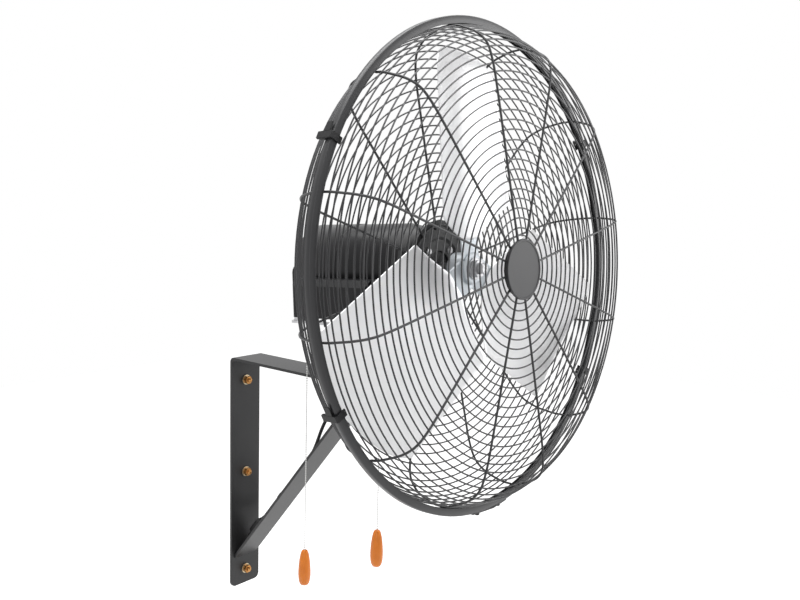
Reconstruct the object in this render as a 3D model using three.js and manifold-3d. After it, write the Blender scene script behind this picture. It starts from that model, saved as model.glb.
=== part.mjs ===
// Wall mounted fan: bent flat-bar bracket with a diagonal brace, tilting and oscillating neck,
// totally enclosed motor with a rear gearbox, three-blade rotor, two-piece wire guard held by a
// rim band, two pull chains and a mains cord hanked behind the brace.
//
// Units are millimetres and +Z is up. The wall is the plane Y = 0, the fan reaches out along -Y,
// and the origin lies on the wall, midway between the upper and the middle fixing screw.

import * as THREE from 'three';
import { mergeVertices } from 'three/addons/utils/BufferGeometryUtils.js';
import Module from 'manifold-3d';

const wasm = await Module();
wasm.setup();

// ---------------------------------------------------------------- driving dimensions

const GAP = 0.3; // seat clearance between touching pieces

// wall bracket
const barWidth = 65;
const barThickness = 5;
const armTop = 130; // height of the arm's upper face above the origin
const armPastNeck = 53; // neck's middle to the arm's free end
const strapLength = 429; // arm's upper face to the strap's lower end
const bendRadius = 9; // outside of the strap's bend into the arm
const cornerRadius = 10; // rounded free ends of the bar
const braceWidth = 52;
const braceFoot = 375; // below the arm's upper face, where the brace's outer face meets the strap
const bracePastNeck = 44; // neck's middle to where the brace's outer face meets the arm

// wall fixings
const screwUpper = 85.4; // upper and middle screws lie this far above and below the origin
const screwLower = 271; // lowest screw, below the origin
const screwRadius = 4;
const screwLength = 24; // shank behind the strap, in the wall
const washerRadius = 9;
const washerThickness = 1.6;
const nutAcross = 13; // hexagon across flats
const nutHeight = 6.5;
const studLength = 5; // thread that stands out of the nut

// neck, tilt joint and oscillation pivot
const pivotReach = 265; // wall to the tilt axis
const armReach = pivotReach + armPastNeck;
const braceHead = pivotReach + bracePastNeck;
const pivotHeight = 55; // tilt axis above the arm's upper face
const headTilt = 3.92; // degrees, the head leans back this much in the stored pose
const neckFlangeRadius = 29;
const neckFlangeThickness = 5;
const neckStemRadius = 15;
const neckBoltRadius = 5;
const earRadius = 17;
const earThickness = 8;
const lugThickness = 20; // knuckle's lug between the neck's ears
const tiltBoltRadius = 5;
const socketRadius = 19;
const socketTop = 44; // above the tilt axis
const pivotPinRadius = 8;
const pivotPinDepth = 26; // pin's length inside the socket

// motor, on the fan axis
const axisHeight = 125.5; // fan axis above the tilt axis
const motorRadius = 67.5;
const motorShell = 3; // wall of the motor's two shells
const motorSegments = 24;
const rearTaper = 16; // length of the rear shell's drawn-in end
const motorRear = 74.5; // behind the oscillation axis
const motorSplit = -25; // joint of front and rear shell, behind the oscillation axis
const motorShoulder = 129; // front shell's full radius ends this far before the oscillation axis
const motorNoseRadius = 46;
const motorFront = 176; // front shell's nose, before the oscillation axis
const shaftRadius = 8;
const bearingRadius = 17.5;
const bearingWidth = 12;
const statorLength = 90;
const rotorCoreRadius = 33;
const rotorCoreGap = 0.8;

// oscillation gear, crank and link
const gearboxLength = 32;
const gearboxHalfWidth = 31;
const gearboxTop = 4; // above the fan axis
const gearboxBottom = 56; // below the fan axis
const crankReach = 93; // oscillation axis to the crank's shaft
const crankLevel = 38; // underside of the crank arm above the tilt axis
const crankThickness = 6;
const cradleWidth = 62;
const cradleLength = 84;
const cradleHeight = 36;
const crankShaftRadius = 6;
const crankPinRadius = 3;
const linkAnchor = 38; // oscillation axis to the link's fixed pin
const linkThickness = 4;
const linkWidth = 10;
const linkSlack = 5.6; // free play of the crank pin in the link's eye
const oscillation = 45; // degrees to each side

// switch box and pull chains
const boxInner = 44; // side of the switch box next to the motor, from the fan's middle plane
const boxOuter = 108;
const boxBack = 25; // behind the oscillation axis
const boxFront = 129; // before it
const boxBottom = 54; // above the tilt axis
const boxTop = 112;
const nippleRadius = 6;
const nippleLength = 7;
const speedChain = { x: -90, y: 9, handleTop: -137 }; // x, place behind the axis, handle height
const swingChain = { x: -55, y: -112, handleTop: -81 };
const chainRadius = 1.2;
const handleLength = 58;
const handleRadius = 10;

// wire guard: each half is a row of stations from its edge wire to its heart, given by radius,
// depth from the rim plane and what lies there, a ring or only a bend of the spokes
const edgeWire = 1.6; // half thicknesses of the wires
const ringWire = 1.2;
const spokeWire = 1.6;
const spokeCount = 12;
const spokeTurn = 11.45; // degrees, first spoke from +X
const guardRim = 340; // radius of both halves' edge wires
const guardNeck = 5.4; // length of the spokes' flat ends inside the band
const rimLead = 2; // middle of the band ahead of the rim plane
const edgeSpread = edgeWire + GAP / 2; // edge wires off the band's middle
const frontStations = [[guardRim, rimLead + edgeSpread, 'ring'],
  [guardRim - guardNeck, rimLead + edgeSpread, 'bend'], [333, 13, 'ring'], [322, 40, 'ring'],
  [311, 54, 'bend'], [295, 61, 'ring'], [250, 64.3, 'ring'], [205, 65, 'ring'], [160, 65.3, 'ring'],
  [115, 65.6, 'ring'], [75, 65.9, 'ring'], [34, 66, 'ring']];
const rearStations = [[guardRim, edgeSpread - rimLead, 'ring'],
  [guardRim - guardNeck, edgeSpread - rimLead, 'bend'], [332, 22, 'ring'], [323.5, 41, 'bend'],
  [309, 57, 'ring'], [282, 65.9, 'ring'], [231, 68.2, 'ring'], [176, 69.3, 'ring'], [119, 70.3, 'ring'],
  [60, 71.3, 'ring']];

const noseStand = 7.2; // rear guard's heart before the motor's nose
const rimReach = motorFront + rearStations.at(-1)[1] + noseStand; // oscillation axis to the rim plane

// rim band, its joint and the guard clips
const bandClearance = 4.2; // edge wires to the band's bed
const bandSheet = 1.2;
const bandDepth = 10.5; // height of the channel, its flanges included
const bandOuter = guardRim + edgeWire + bandClearance + bandSheet;
const bandInner = bandOuter - bandDepth;
const bandHalfWidth = edgeSpread + edgeWire + GAP + bandSheet;
const bandSegments = 36;
const bandSplit = 5;
const jointPlateLength = 84;
const jointPlateSheet = 2;
const jointScrewSpacing = 52;
const jointScrewRadius = 2;
const clipAngles = [33, 150.5, 207, 327];
const clipLength = 9;
const clipSheet = 2.4;
const clipTail = 12; // clip's tail behind the band
const leverLength = 22;

// hub badge and mounting plate of the guard
const badgeRadius = 42;
const badgeThickness = 3.2;
const badgeLip = 3.4;
const clampPlateRadius = 38;
const clampPlateThickness = 2;
const mountPlateRadius = 71;
const mountPlateThickness = 2.5;
const mountPlateHole = 26;
const guardScrewCircle = 36;
const guardScrewCount = 4;
const guardScrewRadius = 3;

// rotor
const rotorDepth = -26; // middle of the blade necks, from the rim plane
const bladeTip = 309;
const bladeHalf = 101; // half of a blade's width, whose long edges are parallel
const bladeNeckReach = 42;
const bladeNeckHalf = 20;
const bladeHeelReach = 88; // where the trailing edge starts
const bladeToeReach = 76; // where the leading edge starts
const bladeCorner = 15; // how far the rounded tip corners are drawn in
const bladeLead = 39; // leading edge ahead of the rotor's middle
const bladeTrailRoot = 10; // trailing edge at the root, ahead of the rotor's middle
const bladeTrailTip = -15;
const bladeHollow = 20; // depth of the hollow face
const bladeSheet = 1.6;
const bladeAngles = [-148.2, -28.2, 91.8]; // degrees from +X, seen from the front
const hubRadius = 23;
const hubLength = 34;
const spiderSheet = 3;
const spiderReach = 88;
const spiderArmWidth = 46;
const nutRadius = 12;

// mains cord, hank and plug
const cordRadius = 3;
const glandBehindNeck = 39;
const glandReach = pivotReach - glandBehindNeck;
const glandSide = 8;
const glandLength = 30;
const glandRadius = 8;
const hankRun = 96;
const hankInner = 18; // radius of the innermost fold
const hankPitch = 6.9; // least spacing of neighbouring turns
const hankTurns = 2; // turns in each of the two layers
const hankWaist = 4; // how far the runs are drawn in at the tie
const hankLean = 20; // degrees off the brace
const hankSide = 38; // middle of the hank from the brace's middle
const hankPlace = 156; // middle of the hank up along the brace
const tieSheet = 1.2;
const plugLength = 30;
const plugWidth = 22;
const plugThickness = 14;
const prongLength = 16;

// ---------------------------------------------------------------- shape helpers

const rad = THREE.MathUtils.degToRad;
const v3 = (x, y, z) => new THREE.Vector3(x, y, z);
const v2 = (x, y) => new THREE.Vector2(x, y);

/** Closed manifold solid of a three.js geometry. */
function toSolid(geometry) {
  const bare = new THREE.BufferGeometry();
  bare.setAttribute('position', geometry.getAttribute('position').clone());
  if (geometry.index) bare.setIndex(geometry.index.clone());
  const merged = mergeVertices(bare, 1e-4);
  return new wasm.Manifold(new wasm.Mesh({
    numProp: 3,
    vertProperties: new Float32Array(merged.getAttribute('position').array),
    triVerts: new Uint32Array(merged.index.array),
  }));
}

/** three.js geometry of a manifold solid. */
function toGeometry(solid) {
  const mesh = solid.getMesh();
  const geometry = new THREE.BufferGeometry();
  geometry.setAttribute('position', new THREE.BufferAttribute(mesh.vertProperties, 3));
  geometry.setIndex(new THREE.BufferAttribute(mesh.triVerts, 1));
  geometry.computeVertexNormals();
  return geometry;
}

const cut = (body, ...tools) =>
  toGeometry(tools.reduce((left, tool) => left.subtract(toSolid(tool)), toSolid(body)));

const join = (body, ...others) =>
  toGeometry(others.reduce((sum, other) => sum.add(toSolid(other)), toSolid(body)));

/** Solid of revolution about Z, from [radius, height] pairs round its half section. */
function turned(profile, segments = 24, start = 0) {
  const points = profile.map(([r, z]) => v2(r, z));
  if (THREE.ShapeUtils.area(points) < 0) points.reverse();
  if (points[0].x !== 0) points.push(points[0].clone());
  const geometry = new THREE.LatheGeometry(points, segments, start);
  return geometry.rotateX(Math.PI / 2);
}

/** Round bar along Z from z0 to z1. */
function rod(radius, z0, z1, segments = 16) {
  return turned([[0, z0], [radius, z0], [radius, z1], [0, z1]], segments);
}

/** Tube along Z. */
function pipe(inner, outer, z0, z1, segments = 16) {
  return turned([[inner, z0], [outer, z0], [outer, z1], [inner, z1]], segments);
}

/** Block between two corners. */
function block(low, high) {
  const size = high.map((value, axis) => value - low[axis]);
  const geometry = new THREE.BoxGeometry(...size);
  return geometry.translate(...low.map((value, axis) => value + size[axis] / 2));
}

/** Plate of a 2-D shape in XY, from z0 to z1. */
function plate(shape, z0, z1, curveSegments = 6) {
  const options = { depth: z1 - z0, bevelEnabled: false, curveSegments };
  return new THREE.ExtrudeGeometry(shape, options).translate(0, 0, z0);
}

/** Rectangle with rounded corners, centred on a point. */
function roundedRectangle(width, height, radius, cx = 0, cy = 0) {
  const [x0, x1] = [cx - width / 2, cx + width / 2];
  const [y0, y1] = [cy - height / 2, cy + height / 2];
  const shape = new THREE.Shape();
  shape.moveTo(x0 + radius, y0);
  shape.lineTo(x1 - radius, y0);
  shape.absarc(x1 - radius, y0 + radius, radius, -Math.PI / 2, 0, false);
  shape.lineTo(x1, y1 - radius);
  shape.absarc(x1 - radius, y1 - radius, radius, 0, Math.PI / 2, false);
  shape.lineTo(x0 + radius, y1);
  shape.absarc(x0 + radius, y1 - radius, radius, Math.PI / 2, Math.PI, false);
  shape.lineTo(x0, y0 + radius);
  shape.absarc(x0 + radius, y0 + radius, radius, Math.PI, Math.PI * 1.5, false);
  return shape;
}

/** Regular polygon of the given width across its flats. */
function polygon(across, sides = 6) {
  const radius = across / 2 / Math.cos(Math.PI / sides);
  const corner = (k) => v2(Math.cos((k * 2 * Math.PI) / sides), Math.sin((k * 2 * Math.PI) / sides));
  return new THREE.Shape(Array.from({ length: sides }, (_, k) => corner(k).multiplyScalar(radius)));
}

/** Closed tube of a round section through the given points, open path. */
function wire(points, radius, sides) {
  const across = [];
  const rings = points.length;
  const frames = sweepFrames(points);
  frames.forEach(({ origin, normal, binormal }) => {
    for (let k = 0; k < sides; k += 1) {
      const angle = (k * 2 * Math.PI) / sides;
      across.push(origin.clone().addScaledVector(normal, Math.cos(angle) * radius)
        .addScaledVector(binormal, Math.sin(angle) * radius));
    }
  });
  const faces = [];
  for (let ring = 0; ring < rings - 1; ring += 1) {
    for (let k = 0; k < sides; k += 1) {
      const a = ring * sides + k;
      const b = ring * sides + ((k + 1) % sides);
      faces.push(a, b, b + sides, a, b + sides, a + sides);
    }
  }
  const last = (rings - 1) * sides;
  for (let k = 1; k < sides - 1; k += 1) {
    faces.push(0, k + 1, k, last, last + k, last + k + 1);
  }
  return fromPoints(across, faces);
}

/** Section frames along a polyline, turned as little as possible from one to the next. */
function sweepFrames(points) {
  const tangents = points.map((_, i) => {
    const before = points[Math.max(i - 1, 0)];
    const after = points[Math.min(i + 1, points.length - 1)];
    return after.clone().sub(before).normalize();
  });
  let normal = v3(1, 0, 0);
  if (Math.abs(tangents[0].x) > 0.8) normal = v3(0, 0, 1);
  return points.map((origin, i) => {
    normal = normal.clone().addScaledVector(tangents[i], -normal.dot(tangents[i])).normalize();
    return { origin, normal, binormal: tangents[i].clone().cross(normal) };
  });
}

/** Indexed geometry of points and triangle corners. */
function fromPoints(points, faces) {
  const geometry = new THREE.BufferGeometry();
  geometry.setAttribute('position',
    new THREE.Float32BufferAttribute(points.flatMap((p) => [p.x, p.y, p.z]), 3));
  geometry.setIndex(faces);
  geometry.computeVertexNormals();
  return geometry;
}

// ---------------------------------------------------------------- materials and scene graph

const finishes = {
  powderCoat: { color: 0x3c3c3e, roughness: 0.55, metalness: 0.3 },
  wire: { color: 0x454547, roughness: 0.45, metalness: 0.5 },
  blackPlastic: { color: 0x19191a, roughness: 0.5, metalness: 0.0 },
  motorPaint: { color: 0x2b2b2c, roughness: 0.3, metalness: 0.4 },
  steel: { color: 0x9a9b9d, roughness: 0.35, metalness: 0.9 },
  yellowZinc: { color: 0xb98d3c, roughness: 0.35, metalness: 0.8 },
  aluminium: { color: 0xd9dadb, roughness: 0.4, metalness: 0.6 },
  orangePlastic: { color: 0xe08a2c, roughness: 0.4, metalness: 0.0 },
  copper: { color: 0xa05a2c, roughness: 0.4, metalness: 0.8 },
  cordJacket: { color: 0x141414, roughness: 0.6, metalness: 0.0 },
};

const fan = new THREE.Group();

/** A group whose origin is the tilt axis under the oscillation axis, leaning with the head. */
const pivot = new THREE.Group();
pivot.position.set(0, -pivotReach, armTop + pivotHeight);
pivot.rotation.x = rad(-headTilt);
fan.add(pivot);

/** A group on the fan axis: origin in the rim plane, +Z towards the air stream, +Y up. */
const axis = new THREE.Group();
axis.position.set(0, -rimReach, axisHeight);
axis.rotation.x = Math.PI / 2;
pivot.add(axis);

function add(parent, name, geometry, finish) {
  const mesh = new THREE.Mesh(geometry, new THREE.MeshStandardMaterial(finishes[finish]));
  mesh.name = name;
  parent.add(mesh);
  return mesh;
}

// ---------------------------------------------------------------- wall bracket

const braceRise = braceFoot - barThickness;
const braceRun = braceHead - barThickness;
const braceLength = Math.hypot(braceRise, braceRun);
const braceUp = v3(0, -braceRun / braceLength, braceRise / braceLength); // along the brace
const braceOut = v3(0, braceRise / braceLength, braceRun / braceLength); // off its hidden face
const strapFoot = armTop - strapLength;

/** Point at a height along the brace, a side place and a height off its hidden face. */
function onBrace(along, side, off) {
  return v3(side, -barThickness, armTop - braceFoot)
    .addScaledVector(braceUp, along).addScaledVector(braceOut, barThickness + off);
}

function barProfile() {
  const inner = bendRadius - barThickness;
  const shape = new THREE.Shape();
  shape.moveTo(0, strapFoot);
  shape.lineTo(0, armTop - bendRadius);
  shape.absarc(-bendRadius, armTop - bendRadius, bendRadius, 0, Math.PI / 2, false);
  shape.lineTo(-armReach, armTop);
  shape.lineTo(-armReach, armTop - barThickness);
  shape.lineTo(-bendRadius, armTop - barThickness);
  shape.absarc(-bendRadius, armTop - bendRadius, inner, Math.PI / 2, 0, true);
  shape.lineTo(-barThickness, strapFoot);
  return shape;
}

/** Turns a profile drawn in YZ and extruded along Z into a piece that is centred on X. */
function acrossX(geometry, width) {
  return geometry.applyMatrix4(new THREE.Matrix4().makeBasis(v3(0, 1, 0), v3(0, 0, 1), v3(1, 0, 0)))
    .translate(-width / 2, 0, 0);
}

/** What is cut from a square bar end to round its two corners; the end lies at x = 0. */
function cornerCutter(width, radius, z0, z1) {
  const shape = new THREE.Shape();
  shape.moveTo(-radius, -width / 2 - 1);
  shape.lineTo(1, -width / 2 - 1);
  shape.lineTo(1, width / 2 + 1);
  shape.lineTo(-radius, width / 2 + 1);
  shape.lineTo(-radius, width / 2);
  shape.absarc(-radius, width / 2 - radius, radius, Math.PI / 2, 0, true);
  shape.lineTo(0, -width / 2 + radius);
  shape.absarc(-radius, -width / 2 + radius, radius, 0, -Math.PI / 2, true);
  return plate(shape, z0, z1);
}

function wallBracket() {
  const bar = acrossX(plate(barProfile(), 0, barWidth), barWidth);
  const footCut = cornerCutter(barWidth, cornerRadius, -1, barThickness + 1)
    .rotateZ(-Math.PI / 2).rotateX(Math.PI / 2).translate(0, 0, strapFoot);
  const endCut = cornerCutter(barWidth, cornerRadius, -barThickness - 1, 1)
    .rotateZ(-Math.PI / 2).translate(0, -armReach, armTop);
  const holes = screwHeights.map((height) =>
    rod(screwRadius + GAP, -1, barThickness + 1, 12).rotateX(Math.PI / 2).translate(0, 0, height));
  const neckHole = rod(neckBoltRadius + GAP, -barThickness - 1, 1, 16)
    .translate(0, -pivotReach, armTop);
  const glandHole = rod(cordRadius + 2, -barThickness - 1, 1, 16)
    .translate(glandSide, -glandReach, armTop);
  return cut(bar, footCut, endCut, neckHole, glandHole, ...holes);
}

/** Flat bar from the strap to the arm, mitred to both. */
function diagonalBrace() {
  const low = v2(-barThickness - GAP, armTop - braceFoot);
  const high = v2(-braceHead, armTop - barThickness - GAP);
  const skin = v2(braceOut.y, braceOut.z).multiplyScalar(barThickness);
  const along = v2(braceUp.y, braceUp.z);
  const toStrap = (point) => point.clone().addScaledVector(along, (low.x - point.x) / along.x);
  const toArm = (point) => point.clone().addScaledVector(along, (high.y - point.y) / along.y);
  const shape = new THREE.Shape([toStrap(low), toStrap(low.clone().add(skin)),
    toArm(high.clone().add(skin)), toArm(high)]);
  return acrossX(plate(shape, 0, braceWidth), braceWidth);
}

const screwHeights = [screwUpper, -screwUpper, -screwLower];

/** Washer and nutted screw through the strap, along -Y. */
function wallFixings() {
  const seat = barThickness + GAP;
  const nutStart = seat + washerThickness + GAP;
  const nutEnd = nutStart + nutHeight;
  const tip = nutEnd + studLength;
  screwHeights.forEach((height, index) => {
    const place = (geometry) => geometry.rotateX(Math.PI / 2).translate(0, 0, height);
    const washer = pipe(screwRadius + GAP, washerRadius, seat, seat + washerThickness);
    const stud = turned([[0, -screwLength], [screwRadius / 2, -screwLength],
      [screwRadius, -screwLength + 4], [screwRadius, tip - 2], [screwRadius * 0.6, tip], [0, tip]], 12);
    const screw = join(plate(polygon(nutAcross), nutStart, nutEnd), stud);
    add(fan, `wall_washer_${index + 1}`, place(washer), 'yellowZinc');
    add(fan, `wall_screw_${index + 1}`, place(screw), 'yellowZinc');
  });
}

add(fan, 'wall_bracket', wallBracket(), 'powderCoat');
add(fan, 'diagonal_brace', diagonalBrace(), 'powderCoat');
wallFixings();

// ---------------------------------------------------------------- neck and tilt joint

const yokeWidth = lugThickness + 2 * GAP + 2 * earThickness;

/** Outline seen along X: a round head on the axis over a straight stem. */
function earShape(radius, foot) {
  const shape = new THREE.Shape();
  shape.moveTo(-radius, foot);
  shape.lineTo(radius, foot);
  shape.lineTo(radius, 0);
  shape.absarc(0, 0, radius, 0, Math.PI, false);
  return shape;
}

/** Round bar along X, centred. */
const barAlongX = (radius, length, segments = 20) =>
  rod(radius, -length / 2, length / 2, segments).rotateY(Math.PI / 2);

function neckPost() {
  const foot = -pivotHeight + GAP;
  const rim = foot + neckFlangeThickness;
  const crotch = -earRadius - 4;
  const stem = turned([[0, foot], [neckFlangeRadius, foot], [neckFlangeRadius, rim],
    [neckStemRadius, rim + 8], [neckStemRadius, crotch], [0, crotch]], 20);
  const yoke = acrossX(plate(earShape(earRadius, crotch - 4), 0, yokeWidth, 6), yokeWidth);
  const slot = block([-lugThickness / 2 - GAP, -earRadius - 1, -earRadius - GAP],
    [lugThickness / 2 + GAP, earRadius + 1, earRadius + 1]);
  const boltHole = barAlongX(tiltBoltRadius + GAP, yokeWidth + 2);
  const tapping = rod(neckBoltRadius + GAP, foot - 1, foot + 14, 16);
  return cut(join(stem, yoke), slot, boltHole, tapping);
}

/** Flanged hexagon bolt that holds the neck from below the arm. */
function neckBolt() {
  const under = armTop - barThickness - GAP;
  const shank = rod(neckBoltRadius, under - 1, armTop + 11, 16);
  const flange = rod(neckBoltRadius * 2.2, under - 2, under, 20);
  return join(shank, flange, plate(polygon(16), under - 8, under - 1)).translate(0, -pivotReach, 0);
}

const hornTop = crankLevel - linkThickness - 2 * GAP;
const hornThickness = 6;
const pinSeat = hornTop + GAP + linkThickness + GAP; // under the head of the link's fixed pin

/** Lug between the neck's ears, with the socket of the oscillation pivot and the link's horn. */
function tiltKnuckle() {
  const collar = earRadius + 2;
  const lug = barAlongX(earRadius - 1, lugThickness, 16);
  const rise = block([-lugThickness / 2, -earRadius + 4, 0], [lugThickness / 2, earRadius - 4, collar + 1]);
  const socket = rod(socketRadius, collar, socketTop, 20);
  const hornReach = linkAnchor + linkWidth;
  const horn = plate(roundedRectangle(hornReach, 15, 7, -hornReach / 2, 0),
    hornTop - hornThickness, hornTop);
  const boltHole = barAlongX(tiltBoltRadius + GAP, lugThickness + 2);
  const bore = rod(pivotPinRadius + GAP, socketTop - pivotPinDepth - GAP, socketTop + 1);
  const pinHole = rod(crankPinRadius + GAP, hornTop - hornThickness - 1, hornTop + 1, 16)
    .translate(-linkAnchor, 0, 0);
  return cut(join(lug, rise, socket, horn), boltHole, bore, pinHole);
}

/** Tilt bolt along X with its head on the +X side. */
function tiltBolt() {
  const face = yokeWidth / 2 + GAP;
  const shank = rod(tiltBoltRadius, -face - 14, face + 1);
  const head = plate(polygon(16), face, face + 6.5);
  return join(shank, head).rotateY(Math.PI / 2);
}

/** Three-lobed clamping knob on the tilt bolt's -X end. */
function tiltKnob() {
  const face = yokeWidth / 2 + GAP;
  const outline = new THREE.Shape(Array.from({ length: 36 }, (_, k) => {
    const angle = (k * Math.PI) / 18;
    const reach = 15 + 5 * Math.cos(3 * angle);
    return v2(Math.cos(angle) * reach, Math.sin(angle) * reach);
  }));
  const hub = rod(10, face, face + 6);
  const lobes = plate(outline, face + 5, face + 17);
  const bore = rod(tiltBoltRadius + GAP, face - 1, face + 14 + GAP, 16);
  return cut(join(hub, lobes), bore).rotateY(-Math.PI / 2);
}

add(fan, 'neck_bolt', neckBolt(), 'steel');
const neck = new THREE.Group(); // upright, on the tilt axis
neck.position.copy(pivot.position);
fan.add(neck);
add(neck, 'neck_post', neckPost(), 'blackPlastic');
add(neck, 'tilt_bolt', tiltBolt(), 'steel');
add(neck, 'tilt_knob', tiltKnob(), 'blackPlastic');
add(pivot, 'tilt_knuckle', tiltKnuckle(), 'blackPlastic');

// ---------------------------------------------------------------- oscillation crank and link
// The crank turns under the gearbox, and the link ties its pin to the knuckle's horn, so the head
// swings. Crank throw and link length follow from the swing: crank and link lie in one line,
// folded at one end of it and stretched at the other.

const crankCentre = v2(0, crankReach);
const anchor = v2(-linkAnchor, 0);
const anchorAt = (degrees) => anchor.clone().rotateAround(v2(0, 0), rad(-degrees));
const nearReach = anchorAt(oscillation).distanceTo(crankCentre);
const farReach = anchorAt(-oscillation).distanceTo(crankCentre);
const crankThrow = (farReach - nearReach) / 2;
const linkLength = (farReach + nearReach) / 2;

/** Crank pin at rest, where the two circles about crank shaft and anchor meet. */
function crankPinPlace() {
  const base = anchor.clone().sub(crankCentre);
  const span = base.length();
  const inside = (crankThrow ** 2 + span ** 2 - linkLength ** 2) / (2 * crankThrow * span);
  const angle = base.angle() - Math.acos(inside);
  return v2(Math.cos(angle), Math.sin(angle)).multiplyScalar(crankThrow).add(crankCentre);
}

const crankPin = crankPinPlace();

/** Flat arm with round ends between two points in XY. */
function armPlate(from, to, radiusFrom, radiusTo, z0, z1) {
  const turn = to.clone().sub(from).angle();
  const length = from.distanceTo(to);
  const shape = new THREE.Shape();
  shape.absarc(0, 0, radiusFrom, Math.PI / 2, Math.PI * 1.5, false);
  shape.absarc(length, 0, radiusTo, -Math.PI / 2, Math.PI / 2, false);
  return plate(shape, z0, z1, 8).rotateZ(turn).translate(from.x, from.y, 0);
}

function crank() {
  const arm = armPlate(crankCentre, crankPin, 10, 7.5, crankLevel, crankLevel + crankThickness);
  const shaftTop = axisHeight - gearboxBottom + 16;
  const shaft = rod(crankShaftRadius, crankLevel + 1, shaftTop).translate(0, crankReach, 0);
  const pin = rod(crankPinRadius, hornTop - 1, crankLevel + 1, 16)
    .translate(crankPin.x, crankPin.y, 0);
  return join(arm, shaft, pin);
}

function oscillationLink() {
  const base = hornTop + GAP;
  const top = base + linkThickness;
  const slackHole = crankPinRadius + linkSlack;
  const bar = armPlate(anchor, crankPin, linkWidth / 2, linkWidth / 2, base, top);
  const eye = rod(slackHole + 3.2, base, top, 24).translate(crankPin.x, crankPin.y, 0);
  const bore = rod(slackHole, base - 1, top + 1, 24).translate(crankPin.x, crankPin.y, 0);
  const fixedBore = rod(crankPinRadius + GAP, base - 1, top + 1, 16).translate(anchor.x, anchor.y, 0);
  return cut(join(bar, eye), bore, fixedBore);
}

function linkPin() {
  const shank = rod(crankPinRadius, hornTop - hornThickness - 3, pinSeat + 1, 12);
  const head = rod(crankPinRadius + 2.5, pinSeat, pinSeat + 2.5, 12);
  const collar = rod(crankPinRadius + 2, hornTop - hornThickness - 3, hornTop - hornThickness - GAP, 12);
  return join(shank, head, collar).translate(-linkAnchor, 0, 0);
}

add(pivot, 'crank', crank(), 'steel');
add(pivot, 'oscillation_link', oscillationLink(), 'steel');
add(pivot, 'link_pin', linkPin(), 'steel');

// ---------------------------------------------------------------- motor and gearbox

const onAxis = (behindPivot) => -rimReach - behindPivot; // depth of a place on the fan axis
const splitDepth = onAxis(motorSplit);
const rearDepth = onAxis(motorRear);
const shoulderDepth = onAxis(-motorShoulder);
const noseDepth = onAxis(-motorFront);
const boreInShell = shaftRadius + 1;
const shellWall = motorShell + 1; // end walls
const pocket = bearingRadius + GAP;
const motorBore = motorRadius - motorShell;

/** Axial profile of one motor shell, from its split towards its closed end. */
function shellProfile(split, shoulder, end) {
  const way = Math.sign(end - split);
  const seat = end - way * (shellWall + bearingWidth + 2 * GAP);
  const ceiling = end - way * shellWall;
  return [[motorBore, split], [motorRadius, split], [motorRadius, shoulder], [motorNoseRadius, end],
    [boreInShell, end], [boreInShell, ceiling], [pocket, ceiling], [pocket, seat],
    [pocket + motorShell, seat], [pocket + motorShell, ceiling], [motorNoseRadius - motorShell, ceiling],
    [motorBore, shoulder - way * shellWall]];
}

function motorFrontShell() {
  return turned(shellProfile(splitDepth + GAP / 2, shoulderDepth, noseDepth), motorSegments);
}

function motorRearShell() {
  return turned(shellProfile(splitDepth - GAP / 2, rearDepth + rearTaper, rearDepth), motorSegments);
}

const bearing = (depth) => pipe(shaftRadius + GAP, bearingRadius, depth, depth + bearingWidth);
const frontBearingDepth = noseDepth - shellWall - GAP - bearingWidth;
const rearBearingDepth = rearDepth + shellWall + GAP;
const coreMiddle = (frontBearingDepth + rearBearingDepth + bearingWidth) / 2;

/** Laminated stator with the end turns of its winding. */
function stator() {
  const half = statorLength / 2;
  const outer = motorBore - GAP;
  const inner = rotorCoreRadius + rotorCoreGap;
  const crown = 16;
  return turned([[inner, coreMiddle - half], [inner + 5, coreMiddle - half - crown],
    [outer - 9, coreMiddle - half - crown], [outer, coreMiddle - half],
    [outer, coreMiddle + half], [outer - 9, coreMiddle + half + crown],
    [inner + 5, coreMiddle + half + crown], [inner, coreMiddle + half]], motorSegments);
}

/** Shaft with the squirrel-cage core, from the rear bearing to the hub nut's thread. */
function motorShaft() {
  const half = statorLength / 2;
  const tip = hubFront + 18;
  return turned([[0, rearDepth + 1], [shaftRadius, rearDepth + 1], [shaftRadius, coreMiddle - half],
    [rotorCoreRadius, coreMiddle - half], [rotorCoreRadius, coreMiddle + half],
    [shaftRadius, coreMiddle + half], [shaftRadius, tip - 1.5], [shaftRadius - 1.5, tip], [0, tip]], 16);
}

const hubFront = rotorDepth + 14;
const hubBack = hubFront - hubLength;

/** Gearbox behind the motor, over the crank's shaft. */
function gearboxHousing() {
  const back = onAxis(motorRear + gearboxLength);
  const height = gearboxTop + gearboxBottom;
  const middle = (gearboxTop - gearboxBottom) / 2;
  const shape = roundedRectangle(gearboxHalfWidth * 2, height, 14, 0, middle);
  const options = { depth: gearboxLength - 5, bevelEnabled: true, bevelThickness: 4.4, bevelSize: 4,
    bevelOffset: -4, bevelSegments: 1, curveSegments: 4 };
  const body = new THREE.ExtrudeGeometry(shape, options).translate(0, 0, back + 4.4);
  const face = block([-60, -80, rearDepth - GAP], [60, 80, rearDepth + 60]);
  const shaftBore = rod(crankShaftRadius + GAP, -gearboxBottom - 1, -gearboxBottom + 17)
    .rotateX(-Math.PI / 2).translate(0, 0, onAxis(crankReach));
  return cut(body, face, shaftBore);
}

/** Saddle under the motor with the pivot pin that turns in the knuckle's socket. */
function motorCradle() {
  const base = socketTop + GAP;
  const pad = plate(roundedRectangle(cradleWidth, cradleLength, 8, 0, 2), base, base + cradleHeight);
  const pin = rod(pivotPinRadius, socketTop - pivotPinDepth, base + 1, 24);
  const motor = rod(motorRadius + GAP, -cradleLength, cradleLength, 80).rotateX(Math.PI / 2).translate(0, 0, axisHeight);
  return cut(join(pad, pin), motor);
}

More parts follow.
